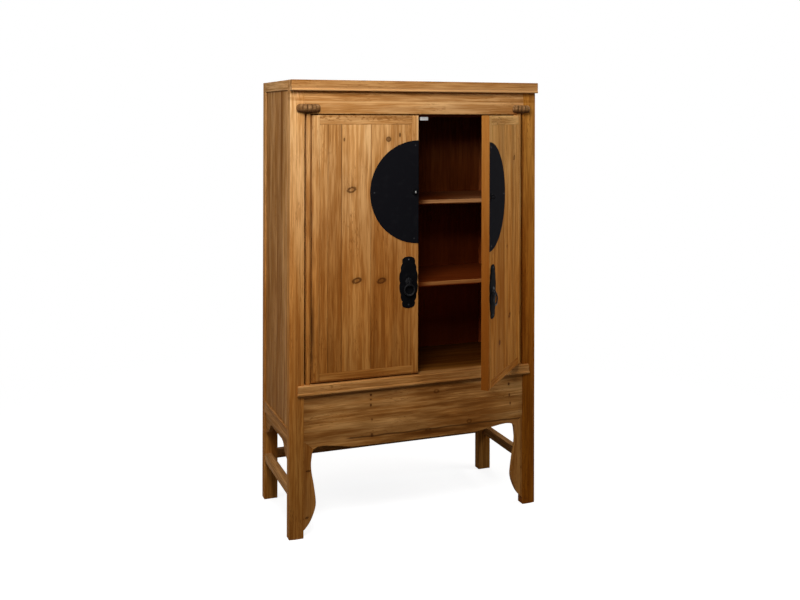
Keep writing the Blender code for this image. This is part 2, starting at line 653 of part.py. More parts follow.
def make_leaf(side_name, side, frame):
    """Stiles, rails and planked panel of one door."""
    hand = -side
    inner = LEAF_START + HINGE_STILE
    outer = LEAF_END - MEETING_STILE
    top = DOOR_HEAD - DOOR_TOP_RAIL
    foot = DOOR_FOOT + DOOR_FOOT_RAIL
    pieces = {}
    for name, start, end in (("hinge_stile", LEAF_START, inner), ("meeting_stile", outer, LEAF_END)):
        lo, hi = sided(hand, (start, LEAF_FRONT, DOOR_FOOT), (end, LEAF_BACK, DOOR_HEAD))
        pieces[name] = block(f"{side_name}_{name}", lo, hi, WOOD, along=2, parent=frame)
    for name, low, high in (("door_bottom_rail", DOOR_FOOT, foot), ("door_top_rail", top, DOOR_HEAD)):
        lo, hi = sided(hand, (inner + SEAT, LEAF_FRONT, low), (outer - SEAT, LEAF_BACK, high))
        pieces[name] = block(f"{side_name}_{name}", lo, hi, WOOD, along=0, parent=frame)
        stiles = (pieces["hinge_stile"], pieces["meeting_stile"])
        inset = (high - low) / 4
        deep = (LEAF_BACK - LEAF_FRONT) / 3
        core = (lo[0], LEAF_FRONT + deep, low + inset), (hi[0], LEAF_BACK - deep, high - inset)
        add_tenons(pieces[name], lo, hi, 0, stiles[::hand], core, frame)
    face = LEAF_FRONT + DOOR_PANEL_STEP
    lo, hi = sided(hand, (inner - TONGUE, face, foot - TONGUE),
                   (outer + TONGUE, face + DOOR_PANEL_THICK, top + TONGUE))
    joints = [inner + share * (outer - inner) for share in DOOR_PLANKS]
    section = planked_outline(inner + SEAT, outer - SEAT, face, hi[1], joints)
    outline = [(hand * u, v) for u, v in section]
    panel = prism(f"{side_name}_door_panel", outline, 2, foot + SEAT, top - SEAT, WOOD, frame)
    tongue_lo = [lo[0], face + DOOR_PANEL_THICK / 2, lo[2]]
    fuse(panel, block(f"{side_name}_panel_tongue", tongue_lo, [hi[0], hi[1] - SEAT, hi[2]], parent=frame))
    tool = block(f"{side_name}_panel_groove", *grown(tongue_lo, hi), parent=frame)
    for piece in pieces.values():
        cut(piece, tool)
    head_wedge, foot_wedge = end_wedges(side_name, frame)
    for wedge, crossing in ((head_wedge, "door_top_rail"), (foot_wedge, "door_bottom_rail")):
        for name in ("hinge_stile", "meeting_stile", crossing):
            cut(pieces[name], wedge)
    wide, deep = SIDE_BEVEL
    outline = [(LEAF_START + wide, LEAF_FRONT), (LEAF_START, LEAF_FRONT + deep),
               (LEAF_START - deep, LEAF_FRONT + deep), (LEAF_START - deep, LEAF_FRONT - deep),
               (LEAF_START + wide, LEAF_FRONT - deep)]
    outline = [(hand * u, v) for u, v in outline]
    wedge = prism(f"{side_name}_side_wedge", outline, 2, 0.0, HEIGHT, parent=frame)
    cut(pieces["hinge_stile"], wedge)


def make_eye(name, u, height, face, base, lug, frame):
    """Round base on a plate, with a lug pierced along the door's width.

    base is radius and thickness; lug is the hole's reach before the plate and its drop below
    the base's middle, the lug's rounding, its thickness and the hole's radius.
    """
    reach, drop, rounding, thick, hole = lug
    front = face - SEAT - base[1]
    root = front + base[1] / 2
    piece = cylinder(name, (u, height), base[0], front, face - SEAT, 1, BLACK_IRON, frame)
    centre = face - reach
    level = height - drop
    outline = [(root, height - min(drop + rounding, base[0] - SEAT))]
    turns = [pi * k / 10 for k in range(11)]
    outline += [(centre - rounding * sin(turn), level - rounding * cos(turn)) for turn in turns]
    outline += [(root, height + rounding)]
    fuse(piece, prism(name + "_lug", outline, 0, u - thick / 2, u + thick / 2, parent=frame))
    bore = cylinder(name + "_hole", (centre, level), hole, u - thick, u + thick, 0, parent=frame, count=16)
    cut(piece, bore)


def handle_outline(steps=72):
    """Lobed plate: at each height the widest of its lobes and a pointed tip, the same up and down."""
    def half_wide(height):
        rise = abs(height)
        tip_wide, tip_foot = HANDLE_TIP
        widths = [tip_wide * (1 - max(0.0, rise - tip_foot) / (HANDLE_HALF_TALL - tip_foot)) ** 2]
        for across, up, radius in HANDLE_LOBES:
            if abs(rise - up) < radius:
                widths.append(across + sqrt(radius ** 2 - (rise - up) ** 2))
        return max(widths)
    heights = [-HANDLE_HALF_TALL * cos(pi * k / steps) for k in range(1, steps)]
    right = [(half_wide(z), z) for z in heights]
    tip = HANDLE_HALF_TALL
    return [(0.0, -tip), *right, (0.0, tip), *[(-x, z) for x, z in reversed(right)]]


def make_ring(side_name, frame, centre):
    """Round wire ring that hangs in its eye and swings about the door's width."""
    axis = bpy.data.objects.new(f"{side_name}_ring_axis", None)
    axis.location = centre
    axis.parent = frame
    bpy.context.collection.objects.link(axis)
    bm = bmesh.new()
    bmesh.ops.create_circle(bm, segments=12, radius=RING_WIRE, matrix=Matrix.Rotation(pi / 2, 4, "Y"))
    bmesh.ops.spin(bm, geom=bm.verts[:] + bm.edges[:], cent=(0.0, 0.0, -RING_RADIUS), axis=(0.0, 1.0, 0.0),
                   angle=tau, steps=32, use_merge=True)
    make_object(f"{side_name}_ring", bm, BLACK_IRON, axis)


def make_fittings(side_name, side, frame):
    """Half disc, lock lug, handle plate, ring eye, ring and strike plate of one door."""
    hand = -side
    seat = LEAF_FRONT - SEAT
    face = seat - PLATE_THICK
    start = acos((LEAF_END - MEETING_U) / DISC_RADIUS)
    turns = [start + (tau - 2 * start) * k / 48 for k in range(49)]
    outline = [(hand * (MEETING_U + DISC_RADIUS * cos(a)), DISC_HEIGHT + DISC_RADIUS * sin(a)) for a in turns]
    prism(f"{side_name}_disc", outline, 1, face, seat, BLACK_IRON, frame)
    make_eye(f"{side_name}_lock_lug", hand * (LEAF_END - LUG_EDGE), DISC_HEIGHT, face,
             (LUG_BASE_RADIUS, LUG_BASE_THICK), (LUG_REACH, 0.0, LUG_ROUND, LUG_THICK, LUG_HOLE), frame)
    middle = hand * (LEAF_END - HANDLE_EDGE)
    outline = [(middle + x, HANDLE_HEIGHT + z) for x, z in handle_outline()]
    prism(f"{side_name}_handle_plate", outline, 1, face, seat, BLACK_IRON, frame)
    height = HANDLE_HEIGHT + EYE_RISE
    make_eye(f"{side_name}_ring_eye", middle, height, face, (EYE_RADIUS, EYE_THICK),
             (EYE_REACH, EYE_DROP, EYE_ROUND, EYE_LUG_THICK, EYE_HOLE), frame)
    make_ring(side_name, frame, (middle, face - EYE_REACH, height - EYE_DROP))
    top = HEADER_FOOT - 2 * SEAT - STOP_TALL
    lo, hi = sided(hand, (MEETING_U - CATCH_IN - CATCH_SIZE[0], LEAF_BACK + SEAT, top - CATCH_SIZE[2]),
                   (MEETING_U - CATCH_IN, LEAF_BACK + SEAT + STRIKE_THICK, top))
    block(f"{side_name}_strike_plate", lo, hi, PALE_STEEL, parent=frame)


def build():
    clear_scene()
    posts = make_posts()
    header = make_header(posts)
    make_cornice()
    top_rails, rear_top_rail = make_top(posts, header)
    panels = make_walls(posts, top_rails, rear_top_rail)
    make_inside(panels)
    make_sill(posts)
    make_apron(posts)
    make_legs(posts)
    make_pivot_blocks(header)
    make_stop()
    for side_name, side in SIDES:
        frame = door_frame(side_name, side)
        make_pivot_stile(side_name, side, frame)
        make_leaf(side_name, side, frame)
        make_fittings(side_name, side, frame)


build()
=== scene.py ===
"""Looks of a two-door cabinet on legs: oiled honey-coloured boards, a dark inside and black iron fittings.

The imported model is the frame, and its boards keep their shapes. Each gets a wood texture that runs through
the solid along that board's own grain. The iron fittings and the two lobed blocks are new surfaces that
stand where theirs stood. Lengths are in metres, x to the right, y to the back, z up.
"""
import json
from functools import partialmethod
from math import pi, radians, tau

import bpy
import numpy as np
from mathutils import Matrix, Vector


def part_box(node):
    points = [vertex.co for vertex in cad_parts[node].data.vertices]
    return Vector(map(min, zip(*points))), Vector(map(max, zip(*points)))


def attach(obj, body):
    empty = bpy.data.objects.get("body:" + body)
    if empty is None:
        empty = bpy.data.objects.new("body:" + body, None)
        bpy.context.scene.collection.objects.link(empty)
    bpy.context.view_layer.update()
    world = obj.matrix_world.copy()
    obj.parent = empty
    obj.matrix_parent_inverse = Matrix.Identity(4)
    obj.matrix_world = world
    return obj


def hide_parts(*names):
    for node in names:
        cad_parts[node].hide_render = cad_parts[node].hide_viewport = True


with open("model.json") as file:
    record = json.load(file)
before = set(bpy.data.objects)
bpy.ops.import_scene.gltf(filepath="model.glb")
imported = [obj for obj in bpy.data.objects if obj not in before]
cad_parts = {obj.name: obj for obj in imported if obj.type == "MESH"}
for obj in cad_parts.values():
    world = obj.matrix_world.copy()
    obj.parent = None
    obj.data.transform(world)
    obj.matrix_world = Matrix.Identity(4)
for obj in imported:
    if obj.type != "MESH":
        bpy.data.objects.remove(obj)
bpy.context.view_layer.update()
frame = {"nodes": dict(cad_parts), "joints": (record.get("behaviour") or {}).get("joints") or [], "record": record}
joints = {joint["name"]: joint for joint in frame["joints"]}
bodies = frame["record"]["behaviour"]["bodies"]

# Doors: u runs from the pivot to the meeting line, v to the back, and z up
SIDES = ("left", "right")
PIVOT = {side: np.array([*joints[f"{side}_door_swing"]["pos_m"][:2], 0.0]) for side in SIDES}
OPEN = {"left": 0.0, "right": radians(-joints["right_door_swing"]["range_deg"][0])}
HAND = {"left": 1.0, "right": -1.0}
DOOR_FACE = -0.012
PLATE_SEAT = -0.0123
PLATE_FACE = -0.0143
DOOR_JOINTS = (0.0779, 0.1342, 0.2582)

# Fittings: a dome has a radius and a rise, a loop a radius, half a width and half a thickness, and a lobe
# of the handle's plate has its middle's distance across and up and its radius
DISC_CENTRE = (0.4643, 1.3485)
DISC_RADIUS = 0.2105
DISC_EDGE = 0.4633
DISC_NAILS = ((0.271, 1.3485), (0.449, 1.5385), (0.444, 1.158))
DISC_NAIL = (0.0034, 0.0012)
PETALS = 8
LUG_PLACE = (0.4453, 1.3485)
LUG_DOME = (0.0145, 0.0042)
LUG_PETAL = 0.07
LUG_LOOP = (0.00635, 0.002, 0.003)
LUG_REACH = PLATE_FACE - 0.009
# Depth beyond which the left eye is bright metal: rubbed, and partly a painted highlight
LUG_RUBBED = PLATE_FACE - 0.0147
HANDLE_PLACE = (0.4203, 0.98)
HANDLE_HALF_TALL = 0.1055
HANDLE_LOBES = ((-0.0195, 0.0205, 0.06), (0.004, 0.0568, 0.03), (0.01, 0.0855, 0.0185))
HANDLE_TIP = (0.01, 0.104)
PLATE_NAILS = ((0.4203, 1.073), (0.4203, 0.889))
PLATE_NAIL = (0.0036, 0.0016)
EYE_PLACE = (0.4203, 0.984)
EYE_DOME = (0.015, 0.0048)
EYE_PETAL = 0.09
EYE_HOLE = (-0.0248, 0.972)
EYE_LOOP = (0.0055, 0.0014, 0.0028)
EYE_NECK = (0.004, 0.0022)
RING_RADIUS = 0.0215
RING_WIRE = 0.0033

# Lobed blocks: the share of the solid's width, the flat back, and the tail with the hole for the pin
BLOCK_WIDE = {"left": 1.02, "right": 0.86}
BLOCK_REAR = -0.2383
BLOCK_LOBES = 7.0
TAIL_HALF_WIDE = 0.011
TAIL_HALF_DEEP = 0.0096
TAIL_TALL = 0.023
PIN_HOLE = 0.0055

# Walls, shelves and the room between them
SIDE_JOINTS = (-0.1646, -0.0737, 0.0039, 0.076, 0.1309)
BACK_JOINTS = (-0.3253, -0.1627, 0.0, 0.1627, 0.3253)
NO_JOINT = 9.0
BORDER_FOOT = 1.714
BORDER_SIDE = 0.52
FLOOR_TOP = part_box("floor_board")[1][2]
SHELF_THICK = 0.018
BOARD_TOPS = (FLOOR_TOP, *(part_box(node)[1][2] for node in ("lower_shelf", "upper_shelf")))
INSIDE_HALF_WIDE = 0.5198
INSIDE_FRONT = -0.1968
INSIDE_BACK = 0.2065
INSIDE_TOP = 1.7768

# Finishes: the light, middle and deep colour of a board
HONEY = ((0.73, 0.41, 0.165), (0.49, 0.232, 0.072), (0.235, 0.088, 0.018))
WARM_HONEY = ((0.8, 0.43, 0.138), (0.535, 0.243, 0.061), (0.25, 0.09, 0.016))
# A darker, greyer copy of HONEY for the sides, the back and the rear: partly painted shade
SIDE_HONEY = ((0.56, 0.29, 0.105), (0.35, 0.158, 0.044), (0.16, 0.056, 0.012))
# A darker, more saturated copy of HONEY for the front right post: painted shade
DEEP_HONEY = ((0.5, 0.212, 0.036), (0.322, 0.121, 0.018), (0.16, 0.048, 0.006))
SHELF_BROWN = ((0.24, 0.088, 0.03), (0.16, 0.05, 0.016), (0.09, 0.024, 0.007))
FLOOR_BROWN = ((0.36, 0.175, 0.05), (0.23, 0.1, 0.024), (0.105, 0.04, 0.008))
DARK_STAIN = ((0.19, 0.05, 0.011), (0.13, 0.03, 0.007), (0.06, 0.012, 0.003))
WEATHERED = ((0.42, 0.235, 0.1), (0.22, 0.108, 0.04), (0.08, 0.032, 0.011))

# Single colours of wood, dirt, painted shade and casts
LOW_STAIN = (0.42, 0.105, 0.03)
# Light wood of the shelves' front edges, laid also as painted light on the upper shelf's top
BARE_EDGE = (0.6, 0.32, 0.145)
RUSSET = (0.3, 0.105, 0.016)
KNOT_BROWN = (0.07, 0.022, 0.006)
# Dark brown of plank joints, also laid as painted shade and shadow in gaps, hollows and under parts
GAP_BROWN = (0.07, 0.028, 0.01)
# The next two colours warm and darken the lower boards: partly age and dirt, partly painted shade
AMBER = (0.86, 0.66, 0.4)
FLOOR_DIRT = (0.74, 0.69, 0.54)
COOL_CAST = (0.96, 1.0, 1.08)
WARM_CAST = (1.05, 0.96, 0.8)

# How light or dark a plank or a board is against the rest; a door's look is its colours, tone, and how much it
# darkens lower down with age and painted shade
DOOR_TONES = (0.06, -0.26, 0.1, 0.0)
DOOR_LOOK = {"left": (HONEY, -0.16, 1.0), "right": (WARM_HONEY, 0.0, 0.92)}
SIDE_TONES = (0.3, 0.14, -0.18, -0.05, 0.12, -0.34)
# How much lighter the stretchers are made: painted light
STRETCHER_TONE = {"left": 0.2, "right": 0.9}

# Wood: width of a growth ring, from plank to plank another seed, shine, relief, and depth of stain and knots
GROWTH_RING = 0.0105
PLANK_STEP = 7.31
WOOD_SHINE = 0.01
BOARD_RELIEF = 0.0007
BLOCK_RELIEF = 0.0006
STAIN_DEEP = 0.0006
KNOT_DEEP = 0.05

# Iron: black, rubbed colour, least roughness, shine and depth of the hammer marks
IRONS = {
    "black_disc_paint": ((0.0072, 0.007, 0.0088), (0.012, 0.012, 0.014), 0.45, 0.004, 0.00012),
    "black_forged_iron": ((0.005, 0.005, 0.0058), (0.014, 0.014, 0.015), 0.25, 0.004, 0.0004),
    "worn_ring_iron": ((0.0105, 0.0105, 0.0115), (0.048, 0.047, 0.047), 0.15, 0.05, 0.0003),
    # Lighter grey nail heads: rubbed, and partly a painted highlight
    "bright_nail_iron": ((0.03, 0.03, 0.033), (0.2, 0.2, 0.21), 0.15, 0.05, 0.0002),
    # A darker copy of the black forged iron, for the right plate: painted shade
    "sooty_forged_iron": ((0.0024, 0.0024, 0.0026), (0.007, 0.007, 0.0075), 0.25, 0.003, 0.0004),
    "rubbed_eye_iron": ((0.005, 0.005, 0.0058), (0.014, 0.014, 0.015), 0.2, 0.01, 0.0003),
}
BRIGHT_METAL = (0.32, 0.32, 0.31)
STEEL = ((0.78, 0.78, 0.76), (0.62, 0.62, 0.61))
SHARP_EDGE = radians(35.0)

# Room
WHITE = (1.0, 1.0, 1.0)
FLOOR_GREYS = ((0.16, 0.16, 0.16), (0.45, 0.45, 0.45))

# Knots and nail holes: place across, height, half width, half height, and how solid the middle is
DOOR_KNOTS = {
    "left": ((0.176, 1.363, 0.018, 0.011, 0.15), (0.199, 0.999, 0.019, 0.011, 0.4),
             (0.304, 0.993, 0.018, 0.011, 0.55), (0.333, 1.564, 0.01, 0.01, 0.8),
             (0.382, 1.581, 0.004, 0.008, 0.95), (0.145, 1.564, 0.003, 0.007, 0.9)),
    "right": ((0.11, 1.486, 0.012, 0.009, 0.5), (0.176, 0.842, 0.012, 0.009, 0.4),
              (0.318, 0.76, 0.01, 0.009, 0.7), (0.215, 1.13, 0.004, 0.006, 0.9)),
}
APRON_HOLES = ((-0.2027, 0.534, 0.004, 0.005, 1.0), (-0.2027, 0.516, 0.003, 0.003, 1.0),
               (-0.2027, 0.4935, 0.004, 0.005, 1.0), (-0.1982, 0.4345, 0.0025, 0.004, 1.0),
               (-0.1981, 0.372, 0.005, 0.007, 0.8), (0.417, 0.519, 0.004, 0.006, 1.0),
               (0.4194, 0.4717, 0.0025, 0.006, 1.0), (0.4241, 0.4364, 0.0025, 0.005, 0.9))
BRACKET_MARKS = {
    "left": ((-0.4619, 0.26, 0.009, 0.003, 0.7), (-0.4676, 0.077, 0.006, 0.004, 0.5)),
    "right": (),
}

# Ovals on the apron: middle and half sizes
APRON_KNOTS = ((0.2326, 0.3816), (0.0472, 0.3662), (0.0834, 0.5214))
APRON_KNOT_HALF = (0.011, 0.008)
# Oval of painted light at the apron's right end
APRON_PALE = ((0.395, 0.412), (0.1, 0.03))
APRON_CHIP = ((-0.32, 0.369), (0.026, 0.013))
APRON_SCRATCH = ((-0.06, 0.484), (0.06, 0.008))
SCORED_LINE = 0.3635

# Sockets of the groups, and which ones are vectors or colours; the rest are numbers
GRAIN_PARTS = ("Rings", "Streaks", "Bands", "Fibres", "Nicks", "Tone", "Warmth")
SHADES = ("Light", "Middle", "Deep")
FINISH = ("Color", "Roughness", "Relief")
VECTORS = ("Vector", "Low", "High", "Centre", "Size")
COLOURS = (*SHADES, "Black", "Rubbed", "Color")


class Sketch:
    """A node tree being drawn: its calls add nodes and give back their outputs."""

    def __init__(self, tree):
        self.tree = tree

    def add(self, kind, **settings):
        """A new shader node of that kind with those settings."""
        made = self.tree.nodes.new(f"ShaderNode{kind}")
        for key, value in settings.items():
            setattr(made, key, value)
        return made

    def feed(self, socket, value):
        """Links an output to the socket, or sets a plain value on it."""
        if isinstance(value, bpy.types.NodeSocket):
            self.tree.links.new(value, socket)
        elif socket.type == "RGBA":
            socket.default_value = (*value, 1.0)
        else:
            socket.default_value = value

    def node(self, kind, *values, **settings):
        """Adds a node, feeds its first inputs in their order, and gives back its outputs."""
        made = self.add(kind, **settings)
        for socket, value in zip(made.inputs, values):
            self.feed(socket, value)
        return made.outputs

    def math(self, operation, *values):
        """One sum on numbers."""
        return self.node("Math", *values, operation=operation)[0]

    # The sums used most: scaled is the first times the second plus the third, and size drops the sign
    times = partialmethod(math, "MULTIPLY")
    scaled = partialmethod(math, "MULTIPLY_ADD")
    plus = partialmethod(math, "ADD")
    less = partialmethod(math, "SUBTRACT")
    most = partialmethod(math, "MAXIMUM")
    size = partialmethod(math, "ABSOLUTE")

    def vector(self, operation, *values):
        """One sum on vectors; a length comes out as a number."""
        made = self.node("VectorMath", *values, operation=operation)
        return made["Value" if operation == "LENGTH" else "Vector"]

    def parts(self, vector):
        """The three numbers of a vector."""
        return tuple(self.node("SeparateXYZ", vector))

    def noise(self, vector, stretch, detail=2.0):
        """Cloudy noise from 0 to 1, with its lumps stretched along each axis."""
        made = self.add("TexNoise")
        self.feed(made.inputs["Vector"], self.vector("MULTIPLY", vector, stretch))
        made.inputs["Scale"].default_value = 1.0
        made.inputs["Detail"].default_value = detail
        return made.outputs[0]

    def chance(self, number):
        """A random number and a random colour for each value of a number."""
        made = self.add("TexWhiteNoise", noise_dimensions="1D")
        self.feed(made.inputs["W"], number)
        return made.outputs["Value"], made.outputs["Color"]

    def rise(self, value, start, end, low=0.0, high=1.0):
        """A smooth step from low to high as the value goes from start to end."""
        return self.node("MapRange", value, start, end, low, high, interpolation_type="SMOOTHSTEP")[0]

    def fall(self, value, start, end):
        """A smooth step from 1 to 0 as the value goes from start to end."""
        return self.rise(value, start, end, 1.0, 0.0)

    def tint(self, factor, first, second, kind="MIX"):
        """Two colours, the second laid over the first by the factor."""
        made = self.add("Mix", data_type="RGBA", blend_type=kind)
        for k, value in ((0, factor), (6, first), (7, second)):
            self.feed(made.inputs[k], value)
        return made.outputs[2]

    def use(self, group, **values):
        """Places a group, feeds its inputs by name, and gives back its outputs."""
        made = self.add("Group", node_tree=group)
        for key, value in values.items():
            self.feed(made.inputs[key], value)
        return made.outputs


def new_group(name, inputs, outputs):
    """An empty group with those sockets, its sketch, its inputs and its outputs by name."""
    tree = bpy.data.node_groups.new(name, "ShaderNodeTree")
    for way, labels in (("INPUT", inputs), ("OUTPUT", outputs)):
        for label in labels:
            kind = "Vector" if label in VECTORS else "Color" if label in COLOURS else "Float"
            tree.interface.new_socket(label, in_out=way, socket_type=f"NodeSocket{kind}")
    source = tree.nodes.new("NodeGroupInput")
    sink = tree.nodes.new("NodeGroupOutput")
    return tree, Sketch(tree), source.outputs, sink.inputs


def sawn_grain():
    """Grain of one board, which runs along the vector's z.

    Rings are shells about a pith beside the board, bent by slow noise, each with a slow rise and a quick end,
    and they fade in and out along it. Streaks, bands, fibres and nicks are noise drawn out along the grain;
    nicks gather in patches. Tone and warmth are one random value for the board with a slow drift on it.
    """
    tree, draw, given, out = new_group("sawn grain", ("Vector", "Board"), GRAIN_PARTS)
    tone, scatter = draw.chance(given["Board"])
    place = draw.vector("ADD", given["Vector"], draw.vector("MULTIPLY", scatter, (7.0, 9.0, 5.0)))
    slow = draw.noise(place, (8, 8, 0.8))
    drift = draw.noise(place, (24, 24, 3), 3.0)
    streaks = draw.noise(place, (85, 85, 4.5), 3.0)
    bands = draw.noise(place, (30, 30, 0.8))
    nicks = draw.noise(place, (300, 300, 48))
    patches = draw.noise(place, (16, 16, 5))
    fine = draw.noise(place, (240, 240, 13))
    fibres = draw.noise(place, (430, 430, 6))
    pith = draw.vector("MULTIPLY", draw.vector("SUBTRACT", scatter, (0.5, 0.5, 0.5)), (0.4, 0.34, 0.0))
    flat = draw.vector("SUBTRACT", draw.vector("MULTIPLY", given["Vector"], (1.0, 1.0, 0.0)), pith)
    radius = draw.scaled(slow, 0.095, draw.vector("LENGTH", flat))
    radius = draw.scaled(streaks, 0.01, radius)
    radius = draw.scaled(drift, 0.016, radius)
    count = draw.math("DIVIDE", radius, GROWTH_RING)
    part = draw.math("FRACT", count)
    ring = draw.times(draw.rise(part, 0.1, 0.8), draw.fall(part, 0.82, 1.0))
    strength = draw.chance(draw.plus(draw.math("FLOOR", count), given["Board"]))[0]
    strength = draw.times(draw.scaled(strength, 0.75, 0.25), draw.rise(drift, 0.36, 0.6))
    draw.feed(out["Rings"], draw.times(ring, strength))
    mixed = draw.scaled(fine, 0.32, draw.times(streaks, 0.43))
    mixed = draw.scaled(drift, 0.25, mixed)
    draw.feed(out["Streaks"], draw.rise(mixed, 0.4, 0.59))
    draw.feed(out["Bands"], draw.rise(bands, 0.46, 0.7))
    draw.feed(out["Nicks"], draw.times(draw.rise(nicks, 0.58, 0.68), draw.rise(patches, 0.46, 0.66)))
    draw.feed(out["Fibres"], draw.rise(fibres, 0.54, 0.7))
    draw.feed(out["Tone"], draw.scaled(tone, 0.5, draw.times(slow, 0.5)))
    own = draw.parts(scatter)[2]
    draw.feed(out["Warmth"], draw.scaled(own, 0.5, draw.rise(drift, 0.3, 0.7, 0.0, 0.5)))
    return tree


def worn_edges():
    """Mask of a box-like piece's rubbed edges: of its distances to the nearest faces, the middle one."""
    tree, draw, given, out = new_group("worn edges", ("Vector", "Low", "High", "Reach"), ("Wear",))
    low_side = draw.vector("ABSOLUTE", draw.vector("SUBTRACT", given["Vector"], given["Low"]))
    high_side = draw.vector("ABSOLUTE", draw.vector("SUBTRACT", given["High"], given["Vector"]))
    x, y, z = draw.parts(draw.vector("MINIMUM", low_side, high_side))
    inner = draw.math("MINIMUM", draw.most(x, y), z)
    middle = draw.most(draw.math("MINIMUM", x, y), inner)
    rough = draw.noise(given["Vector"], (70, 70, 70), 3.0)
    ragged = draw.times(draw.less(rough, 0.35), given["Reach"])
    edge = draw.plus(middle, draw.times(ragged, 2.2))
    draw.feed(out["Wear"], draw.fall(draw.math("DIVIDE", edge, given["Reach"]), 0.15, 1.0))
    return tree


def knot():
    """One knot or nail hole: an oval with a dark rim, a middle that may be dark too, and a soft halo."""
    tree, draw, given, out = new_group(
        "knot", ("Vector", "Centre", "Size", "Solid", "Lean"), ("Dark", "Halo"))
    away = draw.vector("DIVIDE", draw.vector("SUBTRACT", given["Vector"], given["Centre"]), given["Size"])
    lean = draw.times(draw.parts(away)[0], given["Lean"])
    away = draw.vector("SUBTRACT", away, draw.node("CombineXYZ", 0.0, 0.0, lean)[0])
    wobble = draw.noise(given["Vector"], (160, 160, 160))
    far = draw.plus(draw.vector("LENGTH", away), draw.scaled(wobble, 0.5, -0.25))
    middle = draw.times(draw.fall(far, 0.7, 1.0), given["Solid"])
    rim = draw.fall(draw.size(draw.less(far, 0.8)), 0.1, 0.5)
    draw.feed(out["Dark"], draw.most(middle, rim))
    draw.feed(out["Halo"], draw.fall(far, 0.9, 3.2))
    return tree


def plank_joints():
    """Which plank a place lies on, counted by the joints passed, and a thin mask along each joint."""
    labels = [f"Joint{k}" for k in range(1, 6)]
    tree, draw, given, out = new_group("plank joints", ("Across", *labels), ("Plank", "Line"))
    plank = 0.0
    nearest = 1.0
    for label in labels:
        plank = draw.plus(draw.math("GREATER_THAN", given["Across"], given[label]), plank)
        nearest = draw.math("MINIMUM", draw.size(draw.less(given["Across"], given[label])), nearest)
    draw.feed(out["Plank"], plank)
    draw.feed(out["Line"], draw.fall(nearest, 0.0006, 0.0028))
    return tree


def dark_inside():
    """Mask of the faces that look into the cabinet: inside the box of its walls, floor and top."""
    tree, draw, given, out = new_group("dark inside", ("Vector",), ("Inside",))
    x, y, z = draw.parts(given["Vector"])
    inside = draw.math("LESS_THAN", draw.size(x), INSIDE_HALF_WIDE)
    for test, value, limit in (("GREATER_THAN", y, INSIDE_FRONT), ("LESS_THAN", y, INSIDE_BACK),
                               ("GREATER_THAN", z, FLOOR_TOP + STAIN_DEEP), ("LESS_THAN", z, INSIDE_TOP)):
        inside = draw.times(inside, draw.math(test, value, limit))
    draw.feed(out["Inside"], inside)
    return tree


def oiled_board():
    """Colour, roughness and relief of an oiled board: grain, knots, joints, wear, painted light and shade, height.
    """
    tree, draw, given, out = new_group(
        "oiled board",
        (*GRAIN_PARTS, "Wear", "Dark", "Halo", "Line", "Bare", "Inside", "Edge", "Height", "Age", *SHADES),
        FINISH)
    light, middle, deep = (given[name] for name in SHADES)
    streaks, height = given["Streaks"], given["Height"]
    colour = draw.tint(streaks, light, middle)
    for mask, share in (("Bands", 0.42), ("Rings", 0.38)):
        colour = draw.tint(draw.times(given[mask], share), colour, deep)
    colour = draw.tint(1.0, colour, draw.tint(given["Warmth"], COOL_CAST, WARM_CAST), "MULTIPLY")
    level = draw.most(draw.scaled(given["Tone"], 0.6, 0.76), 0.28)
    powers = [draw.math("POWER", level, power) for power in (0.8, 1.0, 1.3)]
    shade = draw.node("CombineColor", *powers)[0]
    colour = draw.tint(1.0, colour, shade, "MULTIPLY")
    stain = draw.tint(streaks, DARK_STAIN[0], DARK_STAIN[1])
    stain = draw.tint(draw.rise(height, 0.65, 1.4, 0.6, 0.0), stain, LOW_STAIN)
    stain = draw.tint(1.0, stain, shade, "MULTIPLY")
    # Among these layers the wear also carries painted highlights, and the lines also painted shade
    for mask, share, over in (("Fibres", 0.3, deep), ("Nicks", 0.6, deep), ("Wear", 0.42, light),
                              ("Halo", 0.22, deep), ("Dark", 0.8, KNOT_BROWN), ("Line", 0.55, GAP_BROWN),
                              ("Inside", 0.96, stain), ("Edge", 0.8, RUSSET)):
        colour = draw.tint(draw.times(given[mask], share), colour, over)
    colour = draw.tint(given["Bare"], colour, draw.tint(draw.times(streaks, 0.5), BARE_EDGE, middle))
    # Warmer and darker lower down: partly age and dirt, partly painted shade
    for start, end, cast in ((0.88, 1.68, AMBER), (0.2, 1.05, FLOOR_DIRT)):
        lower = draw.times(draw.fall(height, start, end), given["Age"])
        colour = draw.tint(lower, colour, cast, "MULTIPLY")
    draw.feed(out["Color"], colour)
    rough = draw.scaled(streaks, 0.1, 0.52)
    rough = draw.scaled(given["Fibres"], 0.1, rough)
    draw.feed(out["Roughness"], draw.scaled(given["Wear"], -0.1, rough))
    bumps = draw.scaled(given["Rings"], 0.45, draw.times(streaks, -0.25))
    bumps = draw.scaled(given["Fibres"], -0.45, bumps)
    bumps = draw.scaled(draw.most(given["Dark"], given["Nicks"]), -0.8, bumps)
    draw.feed(out["Relief"], draw.scaled(given["Wear"], -0.35, bumps))
    return tree


def forged_skin():
    """Mottle of blackened iron: dull patches, shallow hammer marks and a few rubbed spots."""
    tree, draw, given, out = new_group("forged skin", ("Vector", "Black", "Rubbed", "Gloss"), FINISH)
    patches = draw.noise(given["Vector"], (38, 38, 38), 4.0)
    marks = draw.noise(given["Vector"], (150, 150, 150), 1.0)
    grit = draw.noise(given["Vector"], (900, 900, 900))
    rubbed = draw.times(draw.rise(patches, 0.52, 0.72), draw.rise(grit, 0.4, 0.65))
    draw.feed(out["Color"], draw.tint(rubbed, given["Black"], given["Rubbed"]))
    rough = draw.scaled(patches, 0.22, given["Gloss"])
    draw.feed(out["Roughness"], draw.scaled(grit, 0.1, rough))
    draw.feed(out["Relief"], draw.scaled(grit, 0.25, marks))
    return tree


